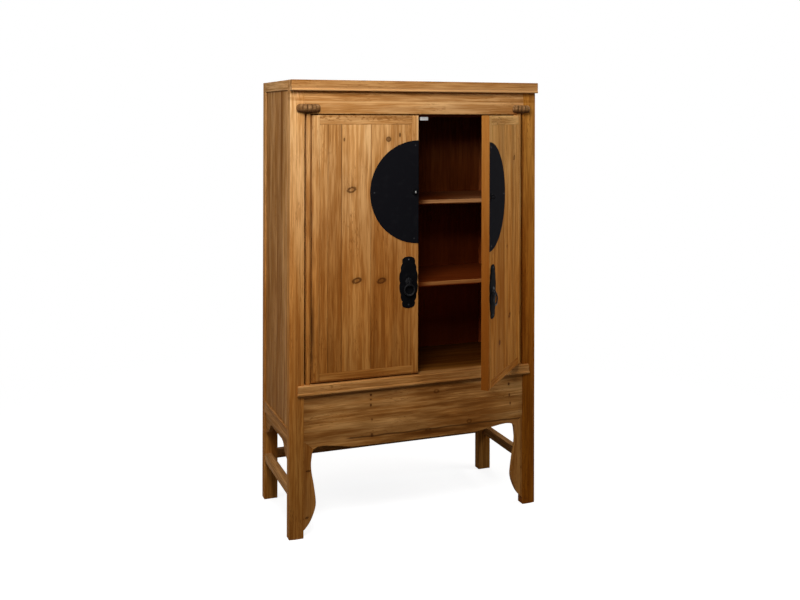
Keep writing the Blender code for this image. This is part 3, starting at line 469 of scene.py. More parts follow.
GRAIN = sawn_grain()
WEAR = worn_edges()
KNOT = knot()
JOINTS = plank_joints()
INSIDE = dark_inside()
BOARD = oiled_board()
IRON = forged_skin()
TURN = {"x": (0.0, radians(-90), 0.0), "y": (radians(90), 0.0, 0.0), "z": (0.0, 0.0, 0.0)}


def new_material(name):
    """An empty procedural material, its sketch, its shader and Object coordinates."""
    material = bpy.data.materials.new(name)
    material.use_nodes = True
    draw = Sketch(material.node_tree)
    shader = next(n for n in material.node_tree.nodes if n.type == "BSDF_PRINCIPLED")
    place = draw.add("TexCoord").outputs["Object"]
    return material, draw, shader, place


def turned(draw, vector, location=(0.0, 0.0, 0.0), rotation=(0.0, 0.0, 0.0), kind="POINT"):
    """The vector moved and turned by a Mapping node."""
    return draw.node("Mapping", vector, location, rotation, vector_type=kind)[0]


def finish(draw, shader, made, shine, depth):
    """Gives the shader the colour, the roughness and the relief that were made, and its shine."""
    draw.feed(shader.inputs["Base Color"], made["Color"])
    draw.feed(shader.inputs["Roughness"], made["Roughness"])
    shader.inputs["Specular IOR Level"].default_value = shine
    bump = draw.add("Bump")
    bump.inputs["Strength"].default_value = 1.0
    bump.inputs["Distance"].default_value = depth
    draw.feed(bump.inputs["Height"], made["Relief"])
    draw.feed(shader.inputs["Normal"], bump.outputs[0])


def oil(draw, shader, grain, colours, depth, **found):
    """Feeds the shader an oiled board: its grain, its three colours and what else is found on it."""
    values = {name: grain[name] for name in GRAIN_PARTS}
    values.update(zip(SHADES, colours))
    values.update(found)
    finish(draw, shader, draw.use(BOARD, **values), WOOD_SHINE, depth)


def cover(obj, material):
    """Puts the material on every slot of an object."""
    if not obj.data.materials:
        obj.data.materials.append(material)
    for slot in obj.material_slots:
        slot.material = material


def door_of(node):
    """Which door a CAD node belongs to, or none."""
    return next((side for side in SIDES if node in bodies[f"{side}_door"]), None)


def own_box(node):
    """Low and high corner of a CAD node, for a door's node in the closed door's frame about its pivot."""
    side = door_of(node)
    if side is None:
        return [tuple(corner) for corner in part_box(node)]
    low, high = (np.array(corner) - PIVOT["left"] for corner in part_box(node.replace("right_", "left_")))
    if side == "right":
        low[0], high[0] = -high[0], -low[0]
    return [tuple(low), tuple(high)]


def board(node, along, colours, seed, planks=(), across="x", knots=(), reach=0.006, age=1.0, tone=0.0,
          tones=(), marks=None):
    """Gives a CAD node its board: grain along one axis, planks, knots, rubbed edges and stain inside.

    tone lightens or darkens the whole board, and tones each plank. marks adds this piece's own rubbed, lined,
    stained or toned places, painted light and shade among them: a function of the sketch and the place.
    """
    material, draw, shader, place = new_material(f"{node}_wood")
    side = door_of(node)
    own = place
    if side:
        own = turned(draw, place, tuple(PIVOT[side]), (0.0, 0.0, OPEN[side]), "TEXTURE")
    x, y, z = draw.parts(own)
    number = seed
    joint = 0.0
    if planks:
        distance = draw.size(x) if side else {"x": x, "y": y}[across]
        places = (*planks, *[NO_JOINT] * 5)[:5]
        split = draw.use(JOINTS, Across=distance, **{f"Joint{k}": at for k, at in enumerate(places, 1)})
        number = draw.scaled(split["Plank"], PLANK_STEP, seed)
        patchy = draw.rise(draw.noise(own, (9, 9, 3.5)), 0.38, 0.62, 0.3, 1.0)
        joint = draw.times(split["Line"], patchy)
        for k, step in enumerate(tones):
            chosen = draw.math("COMPARE", split["Plank"], float(k), 0.2)
            tone = draw.scaled(chosen, step, tone)
    found = dict.fromkeys(("Wear", "Line", "Edge", "Tone", "Bare", "Nicks"), 0.0)
    if marks:
        found.update(marks(draw, own))
    grain = draw.use(GRAIN, Vector=turned(draw, own, rotation=TURN[along]), Board=number)
    low, high = own_box(node)
    wear = draw.use(WEAR, Vector=own, Low=low, High=high, Reach=reach)["Wear"]
    dark = 0.0
    halo = 0.0
    for u, height, wide, tall, solid in knots:
        centre = (HAND[side] * u, DOOR_FACE, height) if side else (u, low[1], height)
        spot = draw.use(KNOT, Vector=own, Centre=centre, Size=(wide, KNOT_DEEP, tall), Solid=solid,
                        Lean=0.3 if solid < 0.6 else 0.0)
        dark = draw.most(spot["Dark"], dark)
        halo = draw.most(spot["Halo"], halo)
    back = high[1] - 0.0004
    inside = draw.rise(y, back - STAIN_DEEP, back) if side else draw.use(INSIDE, Vector=place)["Inside"]
    found["Tone"] = draw.plus(draw.plus(grain["Tone"], tone), found["Tone"])
    found["Nicks"] = draw.most(grain["Nicks"], found["Nicks"])
    found["Wear"] = draw.most(wear, found["Wear"])
    found["Line"] = draw.most(joint, found["Line"])
    oil(draw, shader, grain, colours, BOARD_RELIEF, Dark=dark, Halo=halo, Inside=inside, Height=z, Age=age,
        **found)
    cover(frame["nodes"][node], material)


def frieze_marks(draw, own):
    """The bevelled border along the top and down the posts: darker above and towards the foot, with a painted
    highlight along its arris.
    """
    x, _, z = draw.parts(own)
    over = draw.less(z, BORDER_FOOT - 0.001)
    aside = draw.less(draw.size(x), BORDER_SIDE)
    arris = draw.size(draw.most(over, aside))
    above = draw.rise(over, 0.001, 0.005)
    figure = draw.rise(draw.noise(own, (7, 7, 90), 3.0), 0.38, 0.62)
    foot = draw.rise(z, 0.35, 0.75, -0.18, 0.0)
    # A painted highlight along the arris, where the bevel faces the light
    return {"Wear": draw.fall(arris, 0.0015, 0.0055),
            "Tone": draw.scaled(above, draw.scaled(figure, -0.34, -0.2), foot),
            "Edge": draw.times(above, draw.times(figure, 0.28))}


def cornice_marks(draw, own):
    """A painted highlight along the bead on the cornice's lower edge."""
    return {"Wear": draw.rise(draw.parts(own)[2], 1.7685, 1.7735, 1.4, 0.0)}


def shelf_marks(draw, own):
    """A shelf's front edge is light but for its middle, which is painted shadow of the left door. Its top has
    painted shade in the middle and towards the back, and the upper shelf's top painted light at its right front.
    """
    x, y, z = draw.parts(own)
    aside = draw.size(draw.plus(x, 0.02))
    bare = draw.times(draw.rise(y, -0.1895, -0.1872, 0.9, 0.0), draw.rise(aside, 0.045, 0.105, 0.1, 1.0))
    for top in BOARD_TOPS[1:]:
        over = draw.size(draw.less(z, top - SHELF_THICK))
        bare = draw.times(bare, draw.rise(over, 0.0025, 0.005))
    # Darker in the middle and towards the back: painted shadow and shade
    tone = draw.plus(draw.rise(y, -0.18, 0.1, 0.0, -0.2), draw.rise(aside, 0.06, 0.28, -1.15, -0.95))
    # The upper shelf's top is lighter towards the right front: painted light
    worn = draw.times(draw.rise(aside, 0.14, 0.34, 0.0, 0.4), draw.rise(y, -0.19, -0.02, 1.0, 0.2))
    worn = draw.times(worn, draw.rise(z, 1.1, 1.2))
    return {"Bare": draw.most(bare, worn), "Tone": tone}


def back_marks(draw, own):
    """Inside, the back is redder lower down, with painted shade just above the floor and each shelf and painted
    light lower down.
    """
    _, y, z = draw.parts(own)
    dark = 0.0
    # Painted shade just above the floor and each shelf
    for top in BOARD_TOPS:
        near = draw.times(draw.rise(z, top - 0.002, top), draw.fall(z, top + 0.02, top + 0.24))
        dark = draw.most(near, dark)
    dark = draw.times(dark, draw.math("LESS_THAN", y, INSIDE_BACK))
    # Lighter lower down: painted light
    glow = draw.times(draw.rise(z, 0.93, 1.34, 0.7, 0.0), draw.less(1.0, dark))
    return {"Tone": draw.scaled(dark, -1.15, glow)}


def floor_marks(draw, own):
    """Painted light and shade on the inner floor: lighter along the front, darker towards the back."""
    y = draw.parts(own)[1]
    return {"Wear": draw.rise(y, -0.23, -0.15, 0.8, 0.0), "Tone": draw.rise(y, -0.23, -0.05, -0.15, -1.25)}


def meeting_marks(draw, own):
    """The free edge of a door has the red stain of the inside."""
    bare = draw.rise(draw.size(draw.parts(own)[0]), 0.4626, 0.4631)
    streak = draw.rise(draw.noise(own, (260, 260, 5)), 0.32, 0.68, 0.68, 0.96)
    return {"Edge": draw.times(bare, streak), "Tone": draw.times(bare, -0.9)}


def hinge_marks(draw, own):
    """Dark grime on the hinge stile beside the pivot stile, heavier further down, and partly painted shadow of the
    pivot stile.
    """
    x, _, z = draw.parts(own)
    near = draw.fall(draw.size(x), 0.016, 0.028)
    patch = draw.rise(draw.noise(own, (60, 60, 7), 3.0), 0.3, 0.6)
    low = draw.rise(z, 0.8, 1.55, 1.3, 0.4)
    return {"Line": draw.times(draw.times(near, patch), low)}


def rail_marks(draw, own):
    """Chips along the upper and the lower edge of a door's top rail."""
    z = draw.parts(own)[2]
    chips = draw.rise(draw.noise(own, (62, 62, 130), 3.0), 0.52, 0.6)
    edges = draw.most(draw.rise(z, 1.628, 1.65, 0.0, 1.2), draw.fall(z, 1.617, 1.625))
    return {"Nicks": draw.times(chips, edges)}


def door_marks(draw, own):
    """A door's boards are darkest at middle height, in broad cloudy patches."""
    z = draw.parts(own)[2]
    middle = draw.times(draw.fall(z, 1.2, 1.58), draw.rise(z, 0.6, 1.0, 0.6, 1.0))
    cloud = draw.rise(draw.noise(own, (14, 14, 3)), 0.35, 0.65, -0.36, -0.14)
    return {"Tone": draw.times(middle, cloud)}


def oval(draw, x, z, middle, half):
    """How far a place is from an oval's middle on a board's face, in shares of its half width and height."""
    across = draw.math("DIVIDE", draw.less(x, middle[0]), half[0])
    up = draw.math("DIVIDE", draw.less(z, middle[1]), half[1])
    return draw.math("SQRT", draw.scaled(across, across, draw.times(up, up)))


def apron_marks(draw, own):
    """Wavy figure, a darker left end, painted shade right of the middle, painted light at the right end, faint
    knots and a scored line.
    """
    x, _, z = draw.parts(own)
    tone = draw.rise(draw.noise(own, (5, 5, 38), 3.0), 0.36, 0.64, -0.42, 0.5)
    off_middle = draw.size(draw.less(x, 0.13))
    off_line = draw.less(z, draw.scaled(draw.noise(own, (9, 9, 0), 1.0), 0.012, SCORED_LINE))
    # Darker left end, painted shade right of the middle, and painted light at the right end and in the oval
    shades = [(x, -0.48, -0.425, -0.3, 0.0), (off_middle, 0.05, 0.26, -0.3, 0.06),
              (x, 0.32, 0.42, 0.0, 0.7), (oval(draw, x, z, *APRON_PALE), 0.5, 1.2, 0.6, 0.0)]
    for middle in APRON_KNOTS:
        off_rim = draw.size(draw.less(oval(draw, x, z, middle, APRON_KNOT_HALF), 0.8))
        shades.append((off_rim, 0.1, 0.6, -0.55, 0.0))
    shades.append((off_line, -0.004, 0.0, -0.4, 0.0))
    for shade in shades:
        tone = draw.plus(tone, draw.rise(*shade))
    line = draw.times(draw.rise(draw.size(off_line), 0.0015, 0.0045, 1.3, 0.0), draw.rise(x, -0.32, -0.28))
    chip = draw.rise(oval(draw, x, z, *APRON_CHIP), 0.4, 1.3, 0.9, 0.0)
    scratch = draw.rise(oval(draw, x, z, *APRON_SCRATCH), 0.4, 1.3, 0.7, 0.0)
    return {"Tone": tone, "Wear": draw.most(chip, scratch), "Line": line}


def leg_marks(draw, own):
    """The rear legs are lighter below the walls, the right one more so: painted light."""
    x, _, z = draw.parts(own)
    return {"Tone": draw.times(draw.fall(z, 0.3, 0.5), draw.rise(x, -0.2, 0.2, 0.8, 1.35))}


def wall_marks(draw, own):
    """A dark line where the wall goes in under its rail, painted shadow of the rail, and a red streak that fades
    downwards.
    """
    _, y, z = draw.parts(own)
    streak = draw.fall(draw.size(draw.plus(y, 0.082)), 0.012, 0.036)
    high = draw.rise(z, 1.2, 1.6)
    return {"Line": draw.rise(z, 1.754, 1.759, 0.0, 1.5),
            "Edge": draw.times(streak, draw.times(high, 0.42)),
            "Tone": draw.times(streak, draw.scaled(high, -1.05, -0.2))}


def sill_marks(draw, own):
    """The sill is darker to the right of the doors' meeting line: painted shadow."""
    off_grime = draw.size(draw.less(draw.parts(own)[0], 0.14))
    return {"Tone": draw.rise(off_grime, 0.11, 0.18, -0.65, 0.06)}


def iron(name, rubbed_out=None):
    """Blackened iron of that name; further out than the given depth on the closed door it is bright rubbed metal,
    partly a painted highlight.
    """
    material, draw, shader, place = new_material(name)
    black, rubbed, gloss, shine, depth = IRONS[name]
    made = draw.use(IRON, Vector=place, Black=black, Rubbed=rubbed, Gloss=gloss)
    finish(draw, shader, made, shine, depth)
    if rubbed_out is not None:
        own = turned(draw, place, tuple(PIVOT["left"]), kind="TEXTURE")
        bright = draw.fall(draw.parts(own)[1], rubbed_out - 0.002, rubbed_out)
        draw.feed(shader.inputs["Base Color"], draw.tint(bright, made["Color"], BRIGHT_METAL))
        draw.feed(shader.inputs["Metallic"], bright)
    return material


def pale_steel():
    """Brushed steel of the catches: fine lines along x, with faint smudges."""
    material, draw, shader, place = new_material("brushed_steel")
    lines = draw.noise(place, (30, 1500, 1500))
    smudge = draw.noise(place, (60, 60, 60), 3.0)
    made = {"Color": draw.tint(smudge, *STEEL), "Roughness": draw.scaled(lines, 0.2, 0.28), "Relief": lines}
    finish(draw, shader, made, 0.5, 0.0001)
    shader.inputs["Metallic"].default_value = 0.75
    return material


def dress_wood():
    """Boards of the frame, the walls, the legs, the inside and the doors."""
    board("front_left_post", "z", HONEY, 1.7, marks=frieze_marks)
    board("front_right_post", "z", DEEP_HONEY, 2.7, marks=frieze_marks)
    # The rear posts are made a little lighter all over: painted light
    for seed, side in enumerate(SIDES):
        board(f"rear_{side}_post", "z", SIDE_HONEY, 5.7 + seed, tone=0.3, marks=leg_marks)
    board("cornice", "x", HONEY, 11.3, reach=0.004, tone=-0.5, marks=cornice_marks)
    board("sill_rail", "x", HONEY, 13.3, reach=0.004, age=0.62, tone=0.26, marks=sill_marks)
    for seed, node in enumerate(("rear_top_rail", "rear_stretcher", "rear_rail")):
        board(node, "x", SIDE_HONEY, 15.3 + seed, reach=0.005, age=0.6)
    board("header_rail", "x", HONEY, 21.6, reach=0.005, marks=frieze_marks)
    board("top_panel", "x", SIDE_HONEY, 23.2)
    board("front_apron", "x", HONEY, 25.9, knots=APRON_HOLES, age=0.66, tone=0.08, marks=apron_marks)
    for pair, name in enumerate(("top_rail", "side_rail", "side_apron", "stretcher")):
        for seed, side in enumerate(SIDES, 2 * pair):
            tone = STRETCHER_TONE[side] if name == "stretcher" else 0.0
            board(f"{side}_{name}", "y", SIDE_HONEY, 31.4 + seed, reach=0.005, age=0.35, tone=tone)
    for seed, side in enumerate(SIDES):
        board(f"{side}_side_panel", "z", SIDE_HONEY, 43.8 + seed, SIDE_JOINTS, "y", reach=0.002, age=0.35,
              tones=SIDE_TONES, marks=wall_marks)
        board(f"{side}_bracket", "z", HONEY, 47.5 + seed, reach=0.004, knots=BRACKET_MARKS[side], age=0.8)
    board("back_panel", "z", SIDE_HONEY, 55.1, BACK_JOINTS, "x", reach=0.002, marks=back_marks)
    for seed, node in enumerate(("upper_shelf", "lower_shelf")):
        board(node, "x", SHELF_BROWN, 59.7 + seed, reach=0.004, marks=shelf_marks)
    board("floor_board", "x", FLOOR_BROWN, 61.7, reach=0.004, marks=floor_marks)
    board("bottom_board", "x", SIDE_HONEY, 62.7, reach=0.004, tone=-0.2)
    for seed, node in enumerate(("floor_ledger", "door_stop")):
        board(node, "x", DARK_STAIN, 65.3 + seed, reach=0.003)
    for turn, side in enumerate(SIDES):
        seed = 71.5 + 9 * turn
        honey, tone, age = DOOR_LOOK[side]
        look = {"reach": 0.003, "tone": tone, "age": age}
        rail_look, panel_look = (rail_marks, door_marks) if side == "left" else (None, None)
        # The pivot stile is made a little lighter than its door: painted light
        board(f"{side}_pivot_stile", "z", honey, seed, **{**look, "tone": tone + 0.2})
        board(f"{side}_hinge_stile", "z", honey, seed + 1, marks=hinge_marks, **look)
        board(f"{side}_meeting_stile", "z", honey, seed + 2, marks=meeting_marks, **look)
        board(f"{side}_door_top_rail", "x", honey, seed + 3.4, marks=rail_look, **look)
        board(f"{side}_door_bottom_rail", "x", honey, seed + 4.4, **look)
        board(f"{side}_door_panel", "z", honey, seed + 5.9, DOOR_JOINTS, knots=DOOR_KNOTS[side],
              tones=DOOR_TONES, marks=panel_look, **{**look, "reach": 0.002})


def skin(loops, ring=False):
    """Points, quads and fans of a surface from loops of points, shape (loops, points, 3).

    Neighbouring loops are joined by quads. A ring joins the last loop to the first; otherwise each end is
    closed by a fan about its middle. The sign of the volume decides which way the faces turn.
    """
    rows, count = loops.shape[:2]
    index = np.arange(rows * count).reshape(rows, count)
    points = loops.reshape(-1, 3)
    way = np.vstack([index, index[:1]]) if ring else index
    step = np.roll(way, -1, axis=1)
    quads = np.stack([way[:-1], step[:-1], step[1:], way[1:]], axis=-1).reshape(-1, 4)
    fans = np.empty((0, 3), int)
    if not ring:
        start = np.full(count, len(points))
        points = np.vstack([points, loops[0].mean(0), loops[-1].mean(0)])
        first = np.stack([start, step[0], way[0]], -1)
        last = np.stack([start + 1, way[-1], step[-1]], -1)
        fans = np.vstack([first, last])
    corners = points[np.vstack([quads[:, [0, 1, 2]], quads[:, [0, 2, 3]], fans])]
    volume = np.einsum("ij,ij->i", corners[:, 0], np.cross(corners[:, 1], corners[:, 2])).sum()
    if volume < 0:
        quads = quads[:, ::-1]
        fans = fans[:, ::-1]
    return points, quads, fans


def new_object(name, points, faces):
    """An object in the scene, with a mesh of those points and faces."""
    mesh = bpy.data.meshes.new(name)
    mesh.from_pydata(points.tolist(), [], faces)
    obj = bpy.data.objects.new(name, mesh)
    bpy.context.scene.collection.objects.link(obj)
    return obj


def piece(name, skins, material, body, nodes=()):
    """One object from several skins, which rides on a body and may stand for CAD nodes."""
    starts = np.cumsum([0] + [len(points) for points, _, _ in skins])
    faces = []
    for start, (_, quads, fans) in zip(starts, skins):
        faces += (quads + start).tolist() + (fans + start).tolist()
    obj = new_object(name, np.vstack([points for points, _, _ in skins]), faces)
    obj.data.shade_smooth()
    obj.data.set_sharp_from_angle(angle=SHARP_EDGE)
    cover(obj, material)
    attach(obj, body)
    if nodes:
        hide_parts(*nodes)


def circle(count):
    """Angles of that many points evenly round a circle."""
    return np.linspace(0.0, tau, count, endpoint=False)


def on_door(side, u, v, z):
    """Points of a door in the room: u and v about the pivot, mirrored for the right door, then swung open."""
    u, v, z = np.broadcast_arrays(u, v, z)
    x = HAND[side] * u
    cos, sin = np.cos(OPEN[side]), np.sin(OPEN[side])
    return np.stack([PIVOT[side][0] + cos * x - sin * v, PIVOT[side][1] + sin * x + cos * v, z], axis=-1)


def dome(side, u, z, radius, rise, seat, lobes=0, depth=0.0):
    """Round or petalled dome on a plate.

    The height falls as the square root of one less the square of the distance from the middle, and the rim
    swells and shrinks with the cosine of the angle times the number of lobes.
    """
    turn = circle(96 if lobes else 24)[None, :]
    share = np.sin(np.linspace(0.5 * pi, 0.02, 14))[:, None]
    wave = np.cos(lobes * turn) if lobes else 0.0 * turn
    reach = radius * share * (1.0 + depth * share * wave)
    height = rise * np.sqrt(np.clip(1.0 - share ** 2, 0.0, 1.0)) * (1.0 + 0.6 * depth * share * wave)
    loops = on_door(side, u + reach * np.cos(turn), seat - height, z + reach * np.sin(turn))
    foot = on_door(side, u + reach[:1] * np.cos(turn), seat + 0.0002, z + reach[:1] * np.sin(turn))
    return skin(np.concatenate([foot, loops]))


def handle_plate(side):
    """Lobed plate: at each height its outline is the widest of round lobes and a pointed tip.

    Each loop is the outline times a share, at its own depth: a rounded rim, a fine groove and a low crown.
    """
    rise = HANDLE_HALF_TALL * np.cos(np.linspace(0.0, pi, 121))
    high = np.abs(rise)
    wide, foot = HANDLE_TIP
    half = wide * (1.0 - np.clip(high - foot, 0.0, None) / (HANDLE_HALF_TALL - foot))
    for across, up, radius in HANDLE_LOBES:
        room = radius ** 2 - (high - up) ** 2
        half = np.maximum(half, np.where(room > 0.0, across + np.sqrt(np.clip(room, 0.0, None)), 0.0))
    half[[0, -1]] = 0.0
    outline_u = np.concatenate([half, -half[-2:0:-1]])
    outline_z = np.concatenate([rise, rise[-2:0:-1]])
    rim = ((1.0, 0.0), (1.0, 0.001), (0.99, 0.0017), (0.972, 0.002), (0.93, 0.0021))
    groove = ((0.915, 0.0016), (0.9, 0.0016), (0.885, 0.0022))
    crown = ((0.6, 0.0026), (0.3, 0.0028), (0.05, 0.0029))
    shares, depths = np.array(rim + groove + crown).T[:, :, None]
    u, z = HANDLE_PLACE
    return skin(on_door(side, u + shares * outline_u, PLATE_SEAT - depths, z + shares * outline_z))


def loop_eye(side, u, v, z, radius, wide, thick):
    """Round eye pierced along the door's width: an oval carried round a circle in the v and z plane."""
    turn = circle(40)[:, None]
    around = circle(16)[None, :]
    reach = radius + wide * np.cos(around)
    loops = on_door(side, u + thick * np.sin(around), v + reach * np.cos(turn), z + reach * np.sin(turn))
    return skin(loops, True)


def neck(side, u, start, bend, end, thick):
    """Tapered bar: a circle carried along the curve through start, bend and end in the v and z plane."""
    start, bend, end = np.array([start, bend, end])
    step = np.linspace(0.0, 1.0, 12)[:, None]
    path = (1 - step) ** 2 * start + 2 * step * (1 - step) * bend + step ** 2 * end
    along = np.gradient(path, axis=0)
    along /= np.linalg.norm(along, axis=1, keepdims=True)
    around = circle(16)[None, :]
    size = thick[0] + (thick[1] - thick[0]) * step
    out = size * np.sin(around)
    v = path[:, :1] - out * along[:, 1:]
    z = path[:, 1:] + out * along[:, :1]
    return skin(on_door(side, u + size * np.cos(around), v, z))


def pull_ring(side):
    """Ring pull: a circle carried round a circle, a little thicker at the bottom."""
    turn = circle(72)[:, None]
    around = circle(20)[None, :]
    wire = RING_WIRE * (0.96 - 0.08 * np.sin(turn))
    reach = RING_RADIUS + wire * np.cos(around)
    v, top = EYE_HOLE
    return skin(on_door(side, EYE_PLACE[0] + reach * np.cos(turn), v + wire * np.sin(around),
                        top - RING_RADIUS + reach * np.sin(turn)), True)


def half_disc(side):
    """Half of the round plate: loops of one outline, an arc closed by the straight meeting edge.

    Each loop is drawn in by an inset, at its own depth, which gives a soft rim and a flat face.
    """
    middle, height = DISC_CENTRE
    start = np.arccos((DISC_EDGE - middle) / DISC_RADIUS)
    turn = np.linspace(start, tau - start, 161)
    arc_u = middle + DISC_RADIUS * np.cos(turn)
    arc_z = height + DISC_RADIUS * np.sin(turn)
    chord = np.linspace(arc_z[-1], arc_z[0], 42)[1:-1]
    outline_u = np.concatenate([arc_u, np.full(len(chord), DISC_EDGE)])
    outline_z = np.concatenate([arc_z, chord])
    inset = np.array([0.0, 0.0, 0.0003, 0.0009, 0.002, 0.08, 0.16])[:, None]
    depth = np.array([0.0, 0.0013, 0.0018, 0.002, 0.002, 0.002, 0.002])[:, None]
    shrink = 1.0 - inset / DISC_RADIUS
    centre = DISC_EDGE - 0.09
    u = centre + (outline_u - centre) * shrink
    z = height + (outline_z - height) * shrink
    return skin(on_door(side, u, PLATE_SEAT - depth, z))


def block_middle(side):
    """Low and high corner of a pivot block's solid, the middle of its width and its lobes' half width."""
    low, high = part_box(f"{side}_pivot_block")
    return low, high, 0.5 * (low[0] + high[0]), 0.5 * BLOCK_WIDE[side] * (high[0] - low[0])


def melon_block(side):
    """Lobed block on the header's end, with the square tail that holds the door's pin.

    Each level is a half ellipse with a straight back, scalloped by the sine of seven times the angle, and its
    size follows a rounded curve of the height. The tail is a square tube carried up about the pivot.
    """
    low, high, middle, half = block_middle(side)
    level = np.sin(np.linspace(-0.5 * pi, 0.5 * pi, 25))[:, None] * 0.985
    size = (1.0 - np.abs(level) ** 3.0) ** 0.42
    turn = np.linspace(0.0, pi, 127)
    swell = 1.0 - 0.17 * (1.0 - np.abs(np.sin(BLOCK_LOBES * turn)) ** 0.75)
    across = np.concatenate([np.cos(turn) * swell, np.linspace(-0.83, 0.83, 26)[1:-1]])
    forward = np.concatenate([np.sin(turn) * swell, np.zeros(24)])
    x = middle + (0.62 + 0.38 * size) * across * half
    y = BLOCK_REAR - (0.55 + 0.45 * size) * forward * (BLOCK_REAR - low[1])
    z = 0.5 * (low[2] + high[2]) + level * 0.5 * (high[2] - low[2]) + 0.0 * across
    lobes = skin(np.stack([x, y, z], axis=-1))
    around = circle(64)
    square = 1.0 / np.maximum(np.abs(np.cos(around)), np.abs(np.sin(around)))
    hole = np.full(len(around), PIN_HOLE)
    wide = np.stack([TAIL_HALF_WIDE * square, TAIL_HALF_WIDE * square, hole, hole])
    deep = np.stack([TAIL_HALF_DEEP * square, TAIL_HALF_DEEP * square, hole, hole])
    up = low[2] + TAIL_TALL * np.array([0.0, 1.0, 1.0, 0.0])[:, None] + 0.0 * wide
    tail = np.stack([PIVOT[side][0] + wide * np.cos(around), PIVOT[side][1] + deep * np.sin(around), up], -1)
    return [lobes, skin(tail, True)]


def block_wood(side, seed):
    """Weathered wood of a pivot block: grain along x, painted shade in the hollows between its lobes, painted
    shadow under it, darker lower down.
    """
    material, draw, shader, place = new_material(f"{side}_block_wood")
    low, high, middle, half = block_middle(side)
    x, y, z = draw.parts(place)
    out = draw.math("DIVIDE", draw.less(BLOCK_REAR, y), BLOCK_REAR - low[1])
    along = draw.math("DIVIDE", draw.less(x, middle), half)
    turn = draw.times(draw.math("ARCTAN2", out, along), BLOCK_LOBES)
    # Painted shade in the hollows, painted shadow under the block, and darker towards the bottom
    hollow = draw.rise(draw.size(draw.math("SINE", turn)), 0.1, 0.6, 1.3, 0.0)
    under = draw.rise(z, low[2] + 0.006, low[2] + 0.018, 1.5, 0.0)
    tone = draw.rise(z, low[2], high[2], -0.65, 0.32)
    grain = draw.use(GRAIN, Vector=turned(draw, place, rotation=TURN["x"]), Board=seed)
    oil(draw, shader, grain, WEATHERED, BLOCK_RELIEF, Tone=draw.plus(grain["Tone"], tone),
        Line=draw.most(hollow, under), Height=z)
    return material


def dress_blocks():
    """The two lobed blocks over the door pivots."""
    for side, seed in (("left", 51.2), ("right", 52.2)):
        piece(f"{side}_lobed_block", melon_block(side), block_wood(side, seed), "cabinet",
              (f"{side}_pivot_block",))


def dress_iron():
    """Discs, plates, eyes, rings and nails of both doors, and the catches."""
    flat_black = iron("black_disc_paint")
    black_iron = iron("black_forged_iron")
    worn_iron = iron("worn_ring_iron")
    nail_iron = iron("bright_nail_iron")
    # The right plate takes the darker copy of the iron: painted shade
    plate_iron = {"left": black_iron, "right": iron("sooty_forged_iron")}
    # Only the left eye gets the bright rim: a painted highlight
    eye_iron = {"left": iron("rubbed_eye_iron", LUG_RUBBED), "right": black_iron}
    steel = pale_steel()
    for side in SIDES:
        door = f"{side}_door"
        lug_u, lug_z = LUG_PLACE
        lug = [dome(side, lug_u, lug_z, *LUG_DOME, PLATE_FACE, PETALS, LUG_PETAL),
               loop_eye(side, lug_u, LUG_REACH, lug_z, *LUG_LOOP)]
        eye_u, eye_z = EYE_PLACE
        hole_v, hole_z = EYE_HOLE
        eye = [dome(side, eye_u, eye_z, *EYE_DOME, PLATE_FACE - 0.0003, PETALS, EYE_PETAL),
               neck(side, eye_u, (PLATE_FACE - 0.003, eye_z), (hole_v + 0.001, eye_z + 0.002),
                    (hole_v - 0.0005, hole_z + 0.0055), EYE_NECK),
               loop_eye(side, eye_u, hole_v, hole_z, *EYE_LOOP)]
        fittings = (("round_plate", [half_disc(side)], flat_black, door, "disc"),
                    ("lobed_plate", [handle_plate(side)], plate_iron[side], door, "handle_plate"),
                    ("padlock_eye", lug, eye_iron[side], door, "lock_lug"),
                    ("petal_eye", eye, worn_iron, door, "ring_eye"),
                    ("pull_ring", [pull_ring(side)], worn_iron, f"{side}_ring", "ring"))
        for name, skins, material, body, node in fittings:
            piece(f"{side}_{name}", skins, material, body, (f"{side}_{node}",))
        nails = [dome(side, *spot, *DISC_NAIL, PLATE_FACE) for spot in DISC_NAILS]
        nails += [dome(side, *spot, *PLATE_NAIL, PLATE_FACE) for spot in PLATE_NAILS]
        piece(f"{side}_nail_heads", nails, nail_iron, door)
        for node in (f"{side}_catch", f"{side}_strike_plate"):
            cover(frame["nodes"][node], steel)


def seen_rays(draw):
    """1 for the rays that show the room: straight to the camera, mirrored, or through glass."""
    path = draw.add("LightPath").outputs
    seen = draw.most(path["Is Camera Ray"], path["Is Glossy Ray"])
    return draw.most(seen, path["Is Transmission Ray"])


def floor_paint():
    """Pale paint of the floor: it takes the shadow near the cabinet, and is seen white far off."""
    material = bpy.data.materials.new("pale_floor")
    material.use_nodes = True
    material.node_tree.nodes.clear()
    draw = Sketch(material.node_tree)
    place = draw.add("TexCoord").outputs["Object"]
    far = draw.rise(draw.vector("LENGTH", place), 1.2, 3.0)
    seen = seen_rays(draw)
    matt = draw.node("BsdfDiffuse", draw.tint(seen, *FLOOR_GREYS))[0]
    glow = draw.node("Emission", WHITE, draw.times(seen, 0.82))[0]
    near = draw.node("AddShader", matt, glow)[0]
    bright = draw.node("Emission", WHITE, draw.scaled(seen, 0.93, 0.07))[0]
    draw.node("OutputMaterial", draw.node("MixShader", far, near, bright)[0])
    return material


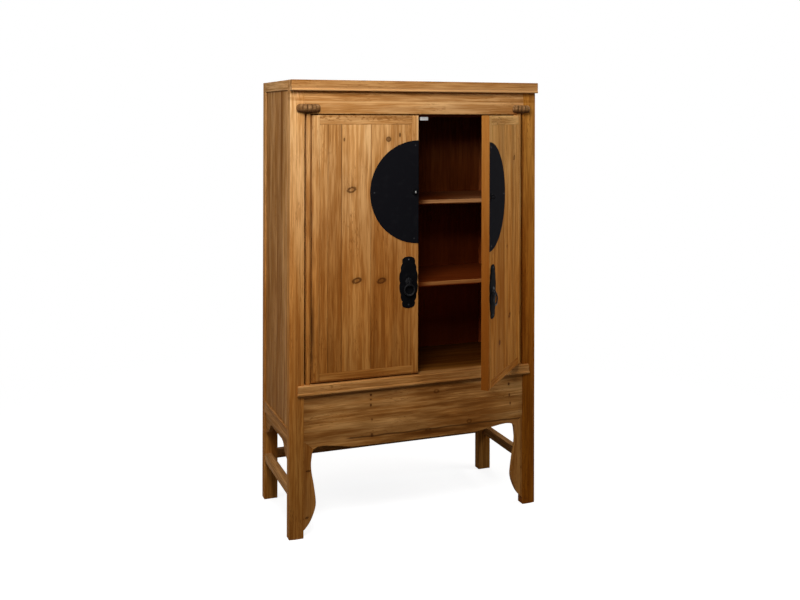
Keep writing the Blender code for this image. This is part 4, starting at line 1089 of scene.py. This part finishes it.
def stage():
    """Pale floor in rings about the middle, a white room, and soft lamps on all sides."""
    turn = circle(96)[None, :]
    reach = np.array([0.01, 1.0, 3.0, 8.0, 30.0])[:, None]
    loops = np.stack([reach * np.cos(turn), reach * np.sin(turn), 0.0 * reach * turn], axis=-1)
    rows, count = loops.shape[:2]
    index = np.arange(rows * count).reshape(rows, count)
    step = np.roll(index, -1, axis=1)
    quads = np.stack([index[:-1], index[1:], step[1:], step[:-1]], axis=-1).reshape(-1, 4)
    floor = new_object("pale_floor", loops.reshape(-1, 3), quads.tolist() + [index[0].tolist()])
    cover(floor, floor_paint())

    world = bpy.data.worlds.new("studio")
    world.use_nodes = True
    draw = Sketch(world.node_tree)
    sky = next(n for n in world.node_tree.nodes if n.type == "BACKGROUND")
    draw.feed(sky.inputs["Color"], WHITE)
    draw.feed(sky.inputs["Strength"], draw.scaled(seen_rays(draw), 0.88, 0.12))
    bpy.context.scene.world = world

    lamp("upper_left", (-0.9, -1.7, 2.45), (-0.1, -0.24, 1.3), 0.9, 39.0)
    lamp("right_side", (2.5, -0.7, 2.1), (0.25, -0.4, 1.3), 1.4, 27.0)
    lamp("left_side", (-2.9, -0.2, 2.1), (-0.5, 0.0, 1.1), 1.8, 22.0)
    lamp("behind", (0.8, 2.9, 2.2), (0.0, 0.24, 1.0), 1.8, 26.0)


def lamp(name, place, aim, size, power):
    """Square soft lamp that faces its aim."""
    light = bpy.data.lights.new(name, "AREA")
    light.size = size
    light.energy = power
    obj = bpy.data.objects.new(name, light)
    obj.location = place
    away = obj.location - Vector(aim)
    obj.rotation_euler = away.to_track_quat("Z", "Y").to_euler()
    bpy.context.scene.collection.objects.link(obj)


def camera():
    """Camera of the photograph: level, turned a little to the right, with the view shifted down."""
    lens = bpy.data.cameras.new("camera")
    lens.sensor_width = 36.0
    lens.lens = 43.48
    lens.shift_x = -0.0001
    lens.shift_y = -0.2307
    obj = bpy.data.objects.new("camera", lens)
    obj.location = (-1.4748, -3.9148, 1.6606)
    obj.rotation_euler = (radians(90.0), radians(-0.14), radians(-20.75))
    bpy.context.scene.collection.objects.link(obj)
    bpy.context.scene.camera = obj


camera()
stage()
dress_wood()
dress_blocks()
dress_iron()
bpy.context.scene.view_settings.view_transform = "Standard"
